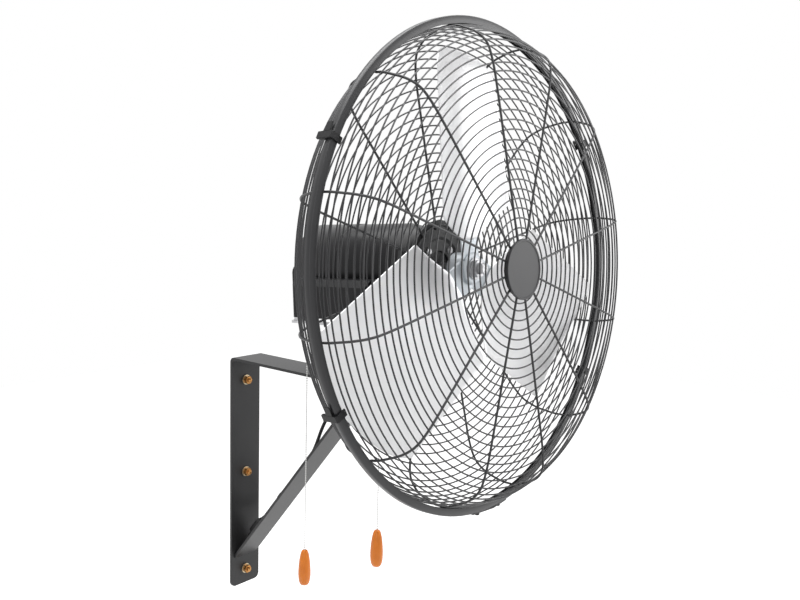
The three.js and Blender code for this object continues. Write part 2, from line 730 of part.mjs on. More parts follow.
/** Box beside the motor that holds the pull switches. */
function switchBox() {
  const width = boxOuter - boxInner;
  const shape = roundedRectangle(width, boxBack + boxFront, 7, -(boxOuter + boxInner) / 2,
    (boxBack - boxFront) / 2);
  const box = plate(shape, boxBottom, boxTop);
  const motor = rod(motorRadius + GAP, -motorFront, motorFront, 80).rotateX(Math.PI / 2).translate(0, 0, axisHeight);
  const bores = [speedChain, swingChain].map(({ x, y }) =>
    rod(nippleRadius - 2 + GAP, boxBottom - 1, boxBottom + 10, 16).translate(x, y, 0));
  return cut(box, motor, ...bores);
}

/** Threaded nipple that the chain runs out of. */
function nipple({ x, y }) {
  const low = boxBottom - nippleLength;
  return turned([[chainRadius + 0.8, low], [nippleRadius - 1, low], [nippleRadius, low + 1],
    [nippleRadius, boxBottom - GAP], [nippleRadius - 2, boxBottom - GAP],
    [nippleRadius - 2, boxBottom + 9], [chainRadius + 0.8, boxBottom + 9]], 10).translate(x, y, 0);
}

add(axis, 'motor_front_shell', motorFrontShell(), 'motorPaint');
add(axis, 'motor_rear_shell', motorRearShell(), 'motorPaint');
add(axis, 'front_bearing', bearing(frontBearingDepth), 'steel');
add(axis, 'rear_bearing', bearing(rearBearingDepth), 'steel');
add(axis, 'stator', stator(), 'copper');
add(axis, 'motor_shaft', motorShaft(), 'steel');
add(axis, 'gearbox_housing', gearboxHousing(), 'blackPlastic');
add(pivot, 'motor_cradle', motorCradle(), 'motorPaint');
add(pivot, 'switch_box', switchBox(), 'blackPlastic');
add(pivot, 'speed_switch_nipple', nipple(speedChain), 'steel');
add(pivot, 'oscillation_switch_nipple', nipple(swingChain), 'steel');

// ---------------------------------------------------------------- pull chains
// A chain hangs plumb from its nipple whatever the head's lean.

function pullChain(name, place) {
  const mouth = v3(place.x, place.y, boxBottom - nippleLength + 2).applyEuler(pivot.rotation)
    .add(pivot.position);
  const handleTop = place.handleTop;
  const chain = rod(chainRadius, handleTop - 7, mouth.z, 6).translate(mouth.x, mouth.y, 0);
  const bore = rod(chainRadius + GAP, handleTop - 8, handleTop + 1, 12);
  const body = turned([[0, handleTop - handleLength], [handleRadius * 0.55, handleTop - handleLength + 1],
    [handleRadius * 0.82, handleTop - handleLength * 0.9], [handleRadius, handleTop - handleLength * 0.68],
    [handleRadius * 0.94, handleTop - handleLength * 0.45], [handleRadius * 0.6, handleTop - handleLength * 0.15],
    [handleRadius * 0.45, handleTop - 1], [handleRadius * 0.35, handleTop], [0, handleTop]], 12);
  add(fan, `${name}_chain`, chain, 'steel');
  add(fan, `${name}_handle`, cut(body, bore).translate(mouth.x, mouth.y, 0), 'orangePlastic');
}

pullChain('speed', speedChain);
pullChain('oscillation', swingChain);

// ---------------------------------------------------------------- wire guard

/** Depth of a guard half's curve at a radius; the rear half's depths are counted backwards. */
function depthAt(stations, radius) {
  const index = stations.findIndex(([r]) => r <= radius);
  const [r0, d0] = stations[index - 1];
  const [r1, d1] = stations[index];
  return d0 + ((d1 - d0) * (r0 - radius)) / (r0 - r1);
}

/** Pushes the four sides of a tube between two square sections. */
function bridge(faces, from, to) {
  for (let k = 0; k < 4; k += 1) {
    const next = (k + 1) % 4;
    faces.push(from[k], to[next], from[next], from[k], to[k], to[next]);
  }
}

const cap = (faces, [a, b, c, d]) => faces.push(a, c, b, a, d, c);

/**
 * One guard half as a single welded net of square wires. Where a ring crosses a spoke the two
 * share a small block; the ring's two straight facets and the spoke's next stretch leave its sides.
 */
function guardHalf(stations, facing) {
  const points = [];
  const faces = [];
  const last = stations.length - 1;
  const corner = (centre, ...offsets) => {
    const point = centre.clone();
    offsets.forEach(([direction, amount]) => point.addScaledVector(direction, amount));
    return points.push(point) - 1;
  };
  const meridian = stations.map(([r, d], i) => {
    const [r0, d0] = stations[Math.max(i - 1, 0)];
    const [r1, d1] = stations[Math.min(i + 1, last)];
    return { r, d: d * facing, along: v2(r1 - r0, (d1 - d0) * facing).normalize() };
  });
  const lay = (station, angle) => {
    const { r, d, along } = meridian[station];
    const out = v3(Math.cos(angle), Math.sin(angle), 0);
    return { centre: out.clone().multiplyScalar(r).setZ(d),
      inward: out.clone().multiplyScalar(along.x).setZ(along.y),
      off: out.clone().multiplyScalar(-along.y * facing).setZ(along.x * facing).negate(),
      round: v3(-Math.sin(angle), Math.cos(angle), 0).multiplyScalar(facing) };
  };
  const halfOf = (station) => (station === 0 ? edgeWire : ringWire);
  const sections = [];
  for (let k = 0; k < spokeCount; k += 1) {
    const angle = rad(spokeTurn + (360 / spokeCount) * k);
    sections.push(stations.map(([, , kind], station) => {
      const { centre, inward, off, round } = lay(station, angle);
      const half = halfOf(station);
      const square = (shift) => [[-1, -1], [1, -1], [1, 1], [-1, 1]].map(([a, b]) =>
        corner(centre, [round, a * spokeWire], [off, b * half], [inward, shift]));
      if (kind === 'bend') {
        const bend = square(0);
        return { outer: bend, inner: bend };
      }
      const outer = square(-half);
      const inner = square(half);
      cap(faces, [outer[0], outer[1], inner[1], inner[0]]);
      cap(faces, [outer[2], outer[3], inner[3], inner[2]]);
      return { outer, inner, before: [outer[0], outer[3], inner[3], inner[0]],
        after: [outer[1], outer[2], inner[2], inner[1]] };
    }));
  }
  sections.forEach((spoke, k) => {
    cap(faces, [...spoke[0].outer].reverse());
    for (let i = 0; i < last; i += 1) bridge(faces, spoke[i].inner, spoke[i + 1].outer);
    cap(faces, spoke[last].inner);
    const neighbour = sections[(k + 1) % spokeCount];
    stations.forEach(([, , kind], station) => {
      if (kind === 'bend') return;
      const { centre, inward, off } = lay(station, rad(spokeTurn + (360 / spokeCount) * (k + 0.5)));
      const half = halfOf(station);
      const middle = [[-1, -1], [1, -1], [1, 1], [-1, 1]].map(([a, b]) =>
        corner(centre, [off, a * half], [inward, b * half]));
      const [near, far] = facing > 0 ? [spoke, neighbour] : [neighbour, spoke];
      bridge(faces, near[station].after, middle);
      bridge(faces, middle, far[station].before);
    });
  });
  return fromPoints(points, faces);
}

/** Channel-section hoop that holds both halves' edge wires, split at the bottom. */
function rimBand() {
  const side = bandHalfWidth;
  const bed = bandOuter - bandSheet;
  const hoop = turned([[bandInner, -side], [bandOuter, -side], [bandOuter, side], [bandInner, side],
    [bandInner, side - bandSheet], [bed, side - bandSheet], [bed, -side + bandSheet],
    [bandInner, -side + bandSheet]], bandSegments, rad(spokeTurn + 90));
  const gap = block([-bandSplit / 2, -bandOuter - 5, -side - 1], [bandSplit / 2, -bandInner + 5, side + 1]);
  return cut(hoop, gap, ...jointHoles(bed - 2, bandOuter + 2)).translate(0, 0, rimLead);
}

/** Cutters for the joint's two screws, between two radii at the bottom of the band. */
function jointHoles(near, far) {
  return [-1, 1].map((side) => rod(jointScrewRadius + GAP, near, far, 12)
    .rotateX(Math.PI / 2).translate((side * jointScrewSpacing) / 2, 0, 0));
}

/** Curved plate that bridges the band's split. */
function jointPlate() {
  const low = bandOuter + GAP;
  const hoop = turned([[low, -bandHalfWidth], [low + jointPlateSheet, -bandHalfWidth],
    [low + jointPlateSheet, bandHalfWidth], [low, bandHalfWidth]], bandSegments, rad(spokeTurn + 90));
  const half = jointPlateLength / 2;
  const keep = block([-half, -low - 20, -20], [half, -low + 20, 20]);
  const section = toSolid(hoop).intersect(toSolid(keep));
  return cut(toGeometry(section), ...jointHoles(low - 5, low + 8)).translate(0, 0, rimLead);
}

/** Pan-head screw through the joint plate and the band. */
function jointScrew(side) {
  const place = (side * jointScrewSpacing) / 2;
  const seat = Math.sqrt((bandOuter + GAP + jointPlateSheet) ** 2 - place ** 2) + GAP;
  const start = seat - jointPlateSheet - bandSheet - 1.6;
  return turned([[0, start], [jointScrewRadius, start], [jointScrewRadius, seat],
    [jointScrewRadius * 1.9, seat], [jointScrewRadius * 1.9, seat + 1.2],
    [jointScrewRadius * 1.2, seat + 2.2], [0, seat + 2.2]], 10)
    .rotateX(Math.PI / 2).translate(place, 0, rimLead);
}

/** Snap clip that hooks over the band, with a tail and a lever behind it. */
function guardClip(angle) {
  const near = bandInner - 3;
  const far = bandOuter + 1.6;
  const front = bandHalfWidth + GAP;
  const shape = new THREE.Shape([v2(far, front + clipSheet), v2(near, front + clipSheet), v2(near, front),
    v2(far - clipSheet + 1.6, front), v2(far - clipSheet + 1.6, -front), v2(near, -front),
    v2(near, -front - clipSheet), v2(far - 3, -front - clipSheet), v2(far - 1, -front - clipTail),
    v2(far + clipSheet, -front - clipTail), v2(far + clipSheet, front)]);
  const hook = plate(shape, -clipLength / 2, clipLength / 2);
  hook.applyMatrix4(new THREE.Matrix4().makeBasis(v3(1, 0, 0), v3(0, 0, 1), v3(0, -1, 0)));
  const lever = block([far + 0.6, clipLength / 2 - leverLength, -front - 3],
    [far + 2.2, clipLength / 2, front - 4]);
  return join(hook, lever).rotateZ(rad(angle)).translate(0, 0, rimLead);
}

/** Plate on the motor's nose that carries the rear guard's wires. */
function mountPlate() {
  const seat = -depthAt(rearStations, mountPlateRadius) - ringWire - GAP;
  const back = noseDepth + GAP;
  const disc = turned([[mountPlateHole, back], [motorNoseRadius, back],
    [motorNoseRadius + 2, seat - mountPlateThickness], [mountPlateRadius, seat - mountPlateThickness],
    [mountPlateRadius, seat], [motorNoseRadius, seat], [motorNoseRadius - 4, back + mountPlateThickness],
    [mountPlateHole, back + mountPlateThickness]], 20);
  return cut(disc, ...guardScrewPlaces().map((p) =>
    rod(guardScrewRadius + GAP, back - 1, seat + 2, 8).translate(p.x, p.y, 0)));
}

function guardScrewPlaces() {
  return Array.from({ length: guardScrewCount }, (_, k) => {
    const angle = rad(45 + (360 / guardScrewCount) * k);
    return v2(Math.cos(angle), Math.sin(angle)).multiplyScalar(guardScrewCircle);
  });
}

/** Front badge dish and the plate behind the wires that it clamps. */
function hubBadge() {
  const seat = frontStations.at(-1)[1] + ringWire + GAP;
  const face = seat + badgeThickness;
  return turned([[0, seat], [badgeRadius, seat], [badgeRadius, face],
    [badgeRadius - 1.2, face + 1], [badgeRadius - badgeLip, face + 1], [badgeRadius - badgeLip - 1, face],
    [0, face]], 28);
}

function clampPlate() {
  const top = frontStations.at(-1)[1] - ringWire - GAP;
  return turned([[0, top - clampPlateThickness], [clampPlateRadius, top - clampPlateThickness],
    [clampPlateRadius, top], [0, top]], 20);
}

add(axis, 'rear_guard', guardHalf(rearStations, -1), 'wire');
add(axis, 'front_guard', guardHalf(frontStations, 1), 'wire');
add(axis, 'rim_band', rimBand(), 'powderCoat');
add(axis, 'band_joint_plate', jointPlate(), 'powderCoat');
add(axis, 'band_screw_1', jointScrew(-1), 'blackPlastic');
add(axis, 'band_screw_2', jointScrew(1), 'blackPlastic');
clipAngles.forEach((angle, index) =>
  add(axis, `guard_clip_${index + 1}`, guardClip(angle), 'blackPlastic'));
add(axis, 'guard_mount_plate', mountPlate(), 'powderCoat');
guardScrewPlaces().forEach((place, index) => {
  const seat = noseDepth + GAP + mountPlateThickness + GAP;
  const screw = turned([[0, noseDepth + 1.2], [guardScrewRadius, noseDepth + 1.2],
    [guardScrewRadius, seat], [guardScrewRadius * 1.9, seat], [guardScrewRadius * 1.6, seat + 2.4],
    [0, seat + 2.4]], 8).translate(place.x, place.y, 0);
  add(axis, `guard_screw_${index + 1}`, screw, 'steel');
});
add(axis, 'hub_badge', hubBadge(), 'powderCoat');
add(axis, 'badge_clamp_plate', clampPlate(), 'blackPlastic');

// ---------------------------------------------------------------- rotor

/** Height of the hollow, twisted blade face over the rotor's middle plane. */
function bladeLevel(reach, side) {
  const out = (reach - bladeHeelReach) / (bladeTip - bladeHeelReach);
  const trail = bladeTrailRoot + (bladeTrailTip - bladeTrailRoot) * out;
  const lead = (side / bladeHalf + 1) / 2;
  return trail + (bladeLead - trail) * lead - bladeHollow * (1 - (side / bladeHalf) ** 2);
}

/** Where a blade's sheet starts, along the blade, at one place across it. */
function bladeStart(side) {
  const past = Math.max((Math.abs(side) - bladeNeckHalf) / (bladeHalf - bladeNeckHalf), 0);
  return bladeNeckReach + ((side < 0 ? bladeHeelReach : bladeToeReach) - bladeNeckReach) * past;
}

/** Closed sheet of even thickness over a grid of places on the blade face. */
function facePatch(place, level, sheet, along, across) {
  const points = [];
  [level + sheet / 2, level - sheet / 2].forEach((lift) => {
    for (let i = 0; i <= along; i += 1) {
      for (let j = 0; j <= across; j += 1) {
        const { reach, side } = place(i / along, (2 * j) / across - 1);
        points.push(v3(reach, side, bladeLevel(reach, side) + lift));
      }
    }
  });
  const row = across + 1;
  const layer = row * (along + 1);
  const faces = [];
  const quad = (a, b, c, d) => faces.push(a, b, c, a, c, d);
  for (let i = 0; i < along; i += 1) {
    for (let j = 0; j < across; j += 1) {
      const a = i * row + j;
      quad(a, a + row, a + row + 1, a + 1);
      quad(layer + a, layer + a + 1, layer + a + row + 1, layer + a + row);
    }
    const near = i * row;
    const far = i * row + across;
    quad(near, layer + near, layer + near + row, near + row);
    quad(far, far + row, layer + far + row, layer + far);
  }
  for (let j = 0; j < across; j += 1) {
    const tip = along * row + j;
    quad(j, j + 1, layer + j + 1, layer + j);
    quad(tip, layer + tip, layer + tip + 1, tip + 1);
  }
  return fromPoints(points, faces);
}

function blade(angle) {
  const place = (share, across) => {
    const edge = Math.sign(across) * Math.abs(across) ** 0.8 * bladeHalf;
    const end = Math.sqrt(bladeTip ** 2 - edge ** 2) - bladeCorner * across ** 6;
    const start = bladeStart(edge);
    return { reach: start + (end - start) * share, side: edge };
  };
  return facePatch(place, 0, bladeSheet, 6, 8).rotateZ(rad(angle)).translate(0, 0, rotorDepth);
}

/** Hub boss with one pressed arm under each blade's root. */
function rotorHub() {
  const drop = -(bladeSheet / 2 + GAP + spiderSheet / 2);
  const inner = hubRadius * 0.6;
  const place = (share, across) =>
    ({ reach: inner + (spiderReach - inner) * share, side: (across * spiderArmWidth) / 2 });
  const arms = bladeAngles.map((angle) =>
    facePatch(place, drop, spiderSheet, 3, 3).rotateZ(rad(angle)).translate(0, 0, rotorDepth));
  const boss = rod(hubRadius, hubBack, hubFront, 20);
  const bore = rod(shaftRadius + GAP, hubBack - 1, hubFront + 1);
  return cut(join(boss, ...arms), bore);
}

/** Left-hand nut that holds the hub on the shaft. */
function hubNut() {
  const seat = hubFront + GAP;
  return cut(join(plate(polygon(nutRadius * 2), seat, seat + 9), rod(nutRadius * 1.35, seat, seat + 2)),
    rod(shaftRadius + GAP, seat - 1, seat + 10));
}

bladeAngles.forEach((angle, index) => add(axis, `blade_${index + 1}`, blade(angle), 'aluminium'));
add(axis, 'rotor_hub', rotorHub(), 'aluminium');
add(axis, 'hub_nut', hubNut(), 'steel');

// ---------------------------------------------------------------- mains cord

const hankSeat = cordRadius + tieSheet + 2 * GAP; // lowest cord's middle off the brace

/** Hank of two layers: long loops that spiral in, climb along a run and spiral out again. */
function hankPath() {
  const widest = hankInner + hankPitch * hankTurns;
  const lean = rad(hankLean);
  const centreOff = hankSeat + widest * Math.sin(lean);
  const place = (along, side, level) => onBrace(hankPlace + along,
    hankSide + side * Math.cos(lean) - level * Math.sin(lean),
    centreOff + side * Math.sin(lean) + level * Math.cos(lean));
  const runSteps = 4;
  const foldSteps = 8;
  const loop = 2 * (runSteps + foldSteps);
  const total = loop * 2 * hankTurns + runSteps;
  const points = [];
  for (let step = 0; step <= total; step += 1) {
    const turns = step / loop;
    const fold = hankInner + hankPitch * Math.abs(hankTurns - turns);
    const level = hankPitch * Math.min(Math.max((step - loop * hankTurns) / runSteps, 0), 1);
    const within = step % loop;
    const half = Math.floor(within / (runSteps + foldSteps));
    const part = within % (runSteps + foldSteps);
    const way = half === 0 ? 1 : -1;
    if (part <= runSteps) {
      const run = part / runSteps;
      const waist = hankWaist * Math.sin(Math.PI * run) ** 2;
      points.push(place(way * hankRun * (0.5 - run), -way * (fold - waist), level));
    } else {
      const angle = ((part - runSteps) / foldSteps) * Math.PI;
      points.push(place(way * (-hankRun / 2 - Math.sin(angle) * fold), -way * Math.cos(angle) * fold, level));
    }
  }
  const lead = place(hankRun / 2 + 4 * cordRadius, -widest, 0);
  const trail = place(-hankRun / 2 - 4 * cordRadius, -hankInner - hankPitch * (hankTurns + runSteps / loop), hankPitch);
  return [lead, ...points, trail];
}

/** Least distance between parts of a path that aren't next to each other, less its thickness. */
function leastGapToItself(path, thickness) {
  const fine = new THREE.CatmullRomCurve3(path).getSpacedPoints(700);
  const spacing = fine[0].distanceTo(fine[1]);
  const skip = Math.ceil((4 * thickness) / spacing);
  let least = Infinity;
  for (let i = 0; i < fine.length; i += 1) {
    for (let j = i + skip; j < fine.length; j += 1) least = Math.min(least, fine[i].distanceTo(fine[j]));
  }
  return least - thickness;
}

const lengthOf = (path) => path.reduce((sum, point, i) => sum + (i ? point.distanceTo(path[i - 1]) : 0), 0);

const hank = hankPath();
console.log(`hank: ${lengthOf(hank).toFixed(0)} mm of cord, `
  + `least gap to itself ${leastGapToItself(hank, cordRadius * 2).toFixed(2)} mm`);

const glandEnd = v3(glandSide, -glandReach, armTop - barThickness - GAP - glandLength);
const hankStart = hank[0];
const cordRoute = [glandEnd.clone().add(v3(0, 0, -GAP)), glandEnd.clone().add(v3(0, 1, -12)),
  v3(8, -216, 72), v3(8, -204, 54), v3(8, -189, 26), v3(8, -174, -8),
  hankStart.clone().addScaledVector(braceUp, 14), hankStart.clone().addScaledVector(braceUp, GAP)];

/** Cord along a smooth curve through the route's points. */
function cordTube(route, steps) {
  const curve = new THREE.CatmullRomCurve3(route, false, 'centripetal');
  const section = new THREE.Shape(Array.from({ length: 8 }, (_, k) =>
    v2(Math.cos((k * Math.PI) / 4), Math.sin((k * Math.PI) / 4)).multiplyScalar(cordRadius)));
  return new THREE.ExtrudeGeometry(section, { steps, bevelEnabled: false, extrudePath: curve });
}

/** Tapered strain relief under the arm, with its neck in the arm's hole. */
function cordGland() {
  const seat = armTop - barThickness - GAP;
  const end = glandEnd.z;
  return turned([[0, end], [cordRadius + 1.2, end], [cordRadius + 2.6, seat - 8], [glandRadius, seat - 6],
    [glandRadius, seat], [cordRadius + 1.6, seat], [cordRadius + 1.6, armTop + 1], [0, armTop + 1]], 14)
    .translate(glandSide, -glandReach, 0);
}

/** Flat two-prong plug that lies on the brace below the hank. */
function powerPlug() {
  const tail = 12;
  const body = plate(roundedRectangle(plugWidth, plugThickness, 4), 0, plugLength);
  const relief = turned([[0, -tail], [cordRadius + 0.8, -tail], [cordRadius + 3, 1], [0, 1]], 16);
  const prong = (side) => block([side * 6.3 - 0.8, -3.2, plugLength - 1],
    [side * 6.3 + 0.8, 3.2, plugLength + prongLength]);
  const plug = join(body, relief, prong(-1), prong(1));
  const end = hank[hank.length - 1];
  const basis = new THREE.Matrix4().makeBasis(v3(-1, 0, 0), braceOut, braceUp.clone().negate());
  return plug.applyMatrix4(basis).translate(end.x, end.y, end.z)
    .translate(...braceUp.clone().multiplyScalar(-(tail + GAP)).toArray());
}

/** Band round the hank's waist. */
function hankTie() {
  const lean = rad(hankLean);
  const widest = hankInner + hankPitch * (hankTurns + 1 / 6) - hankWaist + cordRadius;
  const [w0, w1] = [-widest - GAP - 0.6, widest + GAP];
  const [t0, t1] = [-cordRadius - GAP, hankPitch + cordRadius + GAP];
  const outer = roundedRectangle(w1 - w0 + 2 * tieSheet, t1 - t0 + 2 * tieSheet, 3, (w0 + w1) / 2, (t0 + t1) / 2);
  outer.holes.push(roundedRectangle(w1 - w0, t1 - t0, 2, (w0 + w1) / 2, (t0 + t1) / 2));
  const side = v3(Math.cos(lean), 0, 0).addScaledVector(braceOut, Math.sin(lean));
  const level = v3(-Math.sin(lean), 0, 0).addScaledVector(braceOut, Math.cos(lean));
  const centre = onBrace(hankPlace, hankSide, hankSeat + (hankInner + hankPitch * hankTurns) * Math.sin(lean));
  return plate(outer, -5, 5, 3)
    .applyMatrix4(new THREE.Matrix4().makeBasis(side, level, side.clone().cross(level)))
    .translate(centre.x, centre.y, centre.z);
}

add(fan, 'cord_gland', cordGland(), 'blackPlastic');
add(fan, 'power_cord', cordTube(cordRoute, 16), 'cordJacket');
add(fan, 'cord_hank', wire(hank, cordRadius, 6), 'cordJacket');
add(fan, 'hank_tie', hankTie(), 'blackPlastic');
add(fan, 'power_plug', powerPlug(), 'blackPlastic');

export default fan;
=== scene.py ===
"""Wall mounted fan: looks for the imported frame. Metres, the frame's own axes."""
import math

import bpy
from mathutils import Matrix, Vector


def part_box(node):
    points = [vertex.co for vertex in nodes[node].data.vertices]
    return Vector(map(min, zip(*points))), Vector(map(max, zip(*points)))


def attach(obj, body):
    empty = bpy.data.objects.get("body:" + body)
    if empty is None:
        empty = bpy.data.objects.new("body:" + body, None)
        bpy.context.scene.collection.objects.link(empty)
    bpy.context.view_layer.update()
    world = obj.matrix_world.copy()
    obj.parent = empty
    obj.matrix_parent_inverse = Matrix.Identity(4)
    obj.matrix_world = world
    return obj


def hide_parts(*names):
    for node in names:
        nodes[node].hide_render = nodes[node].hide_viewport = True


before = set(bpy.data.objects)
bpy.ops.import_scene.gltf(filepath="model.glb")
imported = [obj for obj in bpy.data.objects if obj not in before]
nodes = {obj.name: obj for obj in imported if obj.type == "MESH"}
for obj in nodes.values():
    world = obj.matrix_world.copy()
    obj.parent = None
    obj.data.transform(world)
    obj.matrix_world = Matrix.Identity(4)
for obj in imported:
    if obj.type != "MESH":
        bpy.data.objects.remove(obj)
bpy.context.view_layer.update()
bpy.ops.object.select_all(action="DESELECT")

# ------------------------------------------------------------------ places of the object
PIVOT = Vector((0, -0.265, 0.185))
LEAN = math.radians(3.92)
AXIS_HEIGHT = 0.1255  # fan axis over the pivot
RIM_REACH = 0.2545  # pivot to the rim's plane, along the fan axis
UP = Vector((0, math.sin(LEAN), math.cos(LEAN)))
AHEAD = Vector((0, -math.cos(LEAN), math.sin(LEAN)))
RIM = PIVOT + UP * AXIS_HEIGHT + AHEAD * RIM_REACH
HEAD = Matrix.Translation(RIM) @ Matrix((Vector((1, 0, 0)), UP, AHEAD)).transposed().to_4x4()


# ------------------------------------------------------------------ camera
def photo_camera():
    """The photograph's camera: 800 by 600, 913 pixels of focal length."""
    place, lens, sensor = (-1.0661, -1.24715, 0.45041), 41.107, 36
    yaw, dip, roll = (math.radians(angle) for angle in (-50.27, 7.53, 1.50))
    ahead = Vector((-math.sin(yaw) * math.cos(dip), math.cos(yaw) * math.cos(dip), -math.sin(dip)))
    level = Vector((math.cos(yaw), math.sin(yaw), 0))
    upright = level.cross(ahead)
    right = level * math.cos(roll) + upright * math.sin(roll)
    up = upright * math.cos(roll) - level * math.sin(roll)
    bpy.ops.object.camera_add()
    camera = bpy.context.object
    camera.name = "photo_camera"
    camera.data.sensor_width = sensor
    camera.data.lens = lens
    camera.data.clip_start = 0.01
    camera.matrix_world = (Matrix.Translation(place)
                           @ Matrix((right, up, -ahead)).transposed().to_4x4())
    bpy.context.scene.camera = camera


photo_camera()


# ------------------------------------------------------------------ finishes
def shader_tree(name):
    material = bpy.data.materials.new(name)
    material.use_nodes = True
    tree = material.node_tree
    return material, tree, tree.nodes["Principled BSDF"]


def noise(tree, scale, detail):
    """Noise on the object's own coordinates, in metres."""
    place = tree.nodes.new("ShaderNodeTexCoord")
    texture = tree.nodes.new("ShaderNodeTexNoise")
    texture.inputs["Scale"].default_value = scale
    texture.inputs["Detail"].default_value = detail
    tree.links.new(place.outputs["Object"], texture.inputs["Vector"])
    return texture.outputs["Fac"]


def ramp(tree, source, low, high):
    """Colour from low to high over the middle of the source's range."""
    node = tree.nodes.new("ShaderNodeValToRGB")
    node.color_ramp.elements[0].position = 0.3
    node.color_ramp.elements[0].color = (*low, 1)
    node.color_ramp.elements[1].position = 0.7
    node.color_ramp.elements[1].color = (*high, 1)
    tree.links.new(source, node.inputs["Fac"])
    return node.outputs["Color"]


def spread(tree, source, low, high):
    """The source's range of 0 to 1 as a value from low to high."""
    node = tree.nodes.new("ShaderNodeMapRange")
    node.inputs["To Min"].default_value = low
    node.inputs["To Max"].default_value = high
    tree.links.new(source, node.inputs["Value"])
    return node.outputs["Result"]


GRAIN_HEIGHT = 0.0002


def grain(tree, bsdf, source, strength):
    """Fine relief in the shading."""
    bump = tree.nodes.new("ShaderNodeBump")
    bump.inputs["Strength"].default_value = strength
    bump.inputs["Distance"].default_value = GRAIN_HEIGHT
    tree.links.new(source, bump.inputs["Height"])
    tree.links.new(bump.outputs["Normal"], bsdf.inputs["Normal"])


def finish(name, low, high, rough, metal=0.0, patch=9.0, grit=900.0, relief=0.15, gloss=0.5):
    """A surface whose colour drifts between two shades and whose gloss is broken by a fine grain."""
    material, tree, bsdf = shader_tree(name)
    broad = noise(tree, patch, 3.0)
    fine = noise(tree, grit, 2.0)
    tree.links.new(ramp(tree, broad, low, high), bsdf.inputs["Base Color"])
    tree.links.new(spread(tree, fine, rough[0], rough[1]), bsdf.inputs["Roughness"])
    bsdf.inputs["Metallic"].default_value = metal
    bsdf.inputs["Specular IOR Level"].default_value = gloss
    grain(tree, bsdf, fine, relief)
    return material


coat = finish("bracket_powder_coat", (0.024, 0.024, 0.025), (0.032, 0.032, 0.033), (0.38, 0.50), 0.1,
              gloss=0.36)
wire_coat = finish("guard_wire_coat", (0.030, 0.030, 0.032), (0.042, 0.042, 0.044), (0.32, 0.44), 0.2,
                   gloss=0.42)
band_coat = finish("rim_band_coat", (0.034, 0.034, 0.036), (0.046, 0.046, 0.048), (0.32, 0.42), 0.15,
                   gloss=0.4)
motor_coat = finish("motor_gloss_coat", (0.007, 0.007, 0.008), (0.011, 0.011, 0.012), (0.24, 0.34), 0.0,
                    gloss=0.22)
casting = finish("neck_casting_coat", (0.020, 0.020, 0.021), (0.032, 0.032, 0.033), (0.45, 0.6), 0.1,
                 grit=420.0, relief=0.3, gloss=0.4)
moulded = finish("black_moulding", (0.009, 0.009, 0.010), (0.014, 0.014, 0.015), (0.42, 0.55), 0.0,
                 grit=1400.0, relief=0.1, gloss=0.28)
steel = finish("plain_steel", (0.42, 0.42, 0.43), (0.52, 0.52, 0.53), (0.25, 0.4), 0.95, grit=700.0)
chain_metal = finish("bead_chain_metal", (0.44, 0.44, 0.43), (0.56, 0.56, 0.55), (0.25, 0.36), 0.9)
zinc = finish("pale_zinc_washer", (0.50, 0.42, 0.27), (0.66, 0.57, 0.40), (0.28, 0.42), 0.8,
              patch=260.0)
nut_zinc = finish("yellow_zinc_nut", (0.32, 0.14, 0.035), (0.52, 0.27, 0.09), (0.22, 0.38), 0.85,
                  patch=320.0)
nipple_black = finish("blackened_nipple", (0.020, 0.020, 0.021), (0.035, 0.035, 0.036), (0.3, 0.42), 0.5)
dark_screw = finish("blackened_screw", (0.018, 0.018, 0.018), (0.03, 0.03, 0.03), (0.3, 0.42), 0.6)
winding = finish("core_and_winding", (0.30, 0.12, 0.05), (0.40, 0.17, 0.07), (0.4, 0.55), 0.5)
sheet = finish("blade_sheet", (0.86, 0.86, 0.87), (0.91, 0.91, 0.92), (0.26, 0.36), 0.5, patch=5.0,
               grit=1200.0, relief=0.05)
spider_sheet = finish("spider_sheet", (0.50, 0.54, 0.57), (0.58, 0.61, 0.64), (0.32, 0.42), 0.5,
                      patch=14.0, grit=1100.0, relief=0.08)
orange = finish("orange_handle", (0.84, 0.215, 0.012), (0.92, 0.255, 0.020), (0.20, 0.28), 0.0,
                patch=60.0, grit=1500.0, relief=0.03, gloss=0.4)
jacket = finish("cord_jacket", (0.011, 0.011, 0.012), (0.017, 0.017, 0.018), (0.48, 0.6), 0.0,
                grit=1600.0, gloss=0.3)
badge_coat = finish("badge_coat", (0.026, 0.026, 0.028), (0.034, 0.034, 0.036), (0.38, 0.48), 0.15,
                    grit=1300.0, gloss=0.42)


def dress(piece, material):
    piece.data.materials.clear()
    piece.data.materials.append(material)


# ------------------------------------------------------------------ shape helpers
WELD = 0.00002  # vertices this near each other are one


def start(name, place):
    """An object of one vertex, in edit mode."""
    bpy.ops.mesh.primitive_plane_add(size=0.001, location=(0, 0, 0))
    piece = bpy.context.object
    piece.name = name
    bpy.ops.object.mode_set(mode="EDIT")
    bpy.ops.mesh.merge(type="CENTER")
    bpy.ops.transform.translate(value=place)
    return piece


def draw_on(points):
    """Extrudes the selected vertex from point to point."""
    for before, after in zip(points, points[1:]):
        step = Vector(after) - Vector(before)
        bpy.ops.mesh.extrude_region_move(TRANSFORM_OT_translate={"value": step})


def close_loop():
    """Joins the first and the last vertex of the drawn line."""
    bpy.ops.object.mode_set(mode="OBJECT")
    mesh = bpy.context.object.data
    for vertex in mesh.vertices:
        vertex.select = vertex.index in (0, len(mesh.vertices) - 1)
    for edge in mesh.edges:
        edge.select = False
    bpy.ops.object.mode_set(mode="EDIT")
    bpy.ops.mesh.edge_face_add()


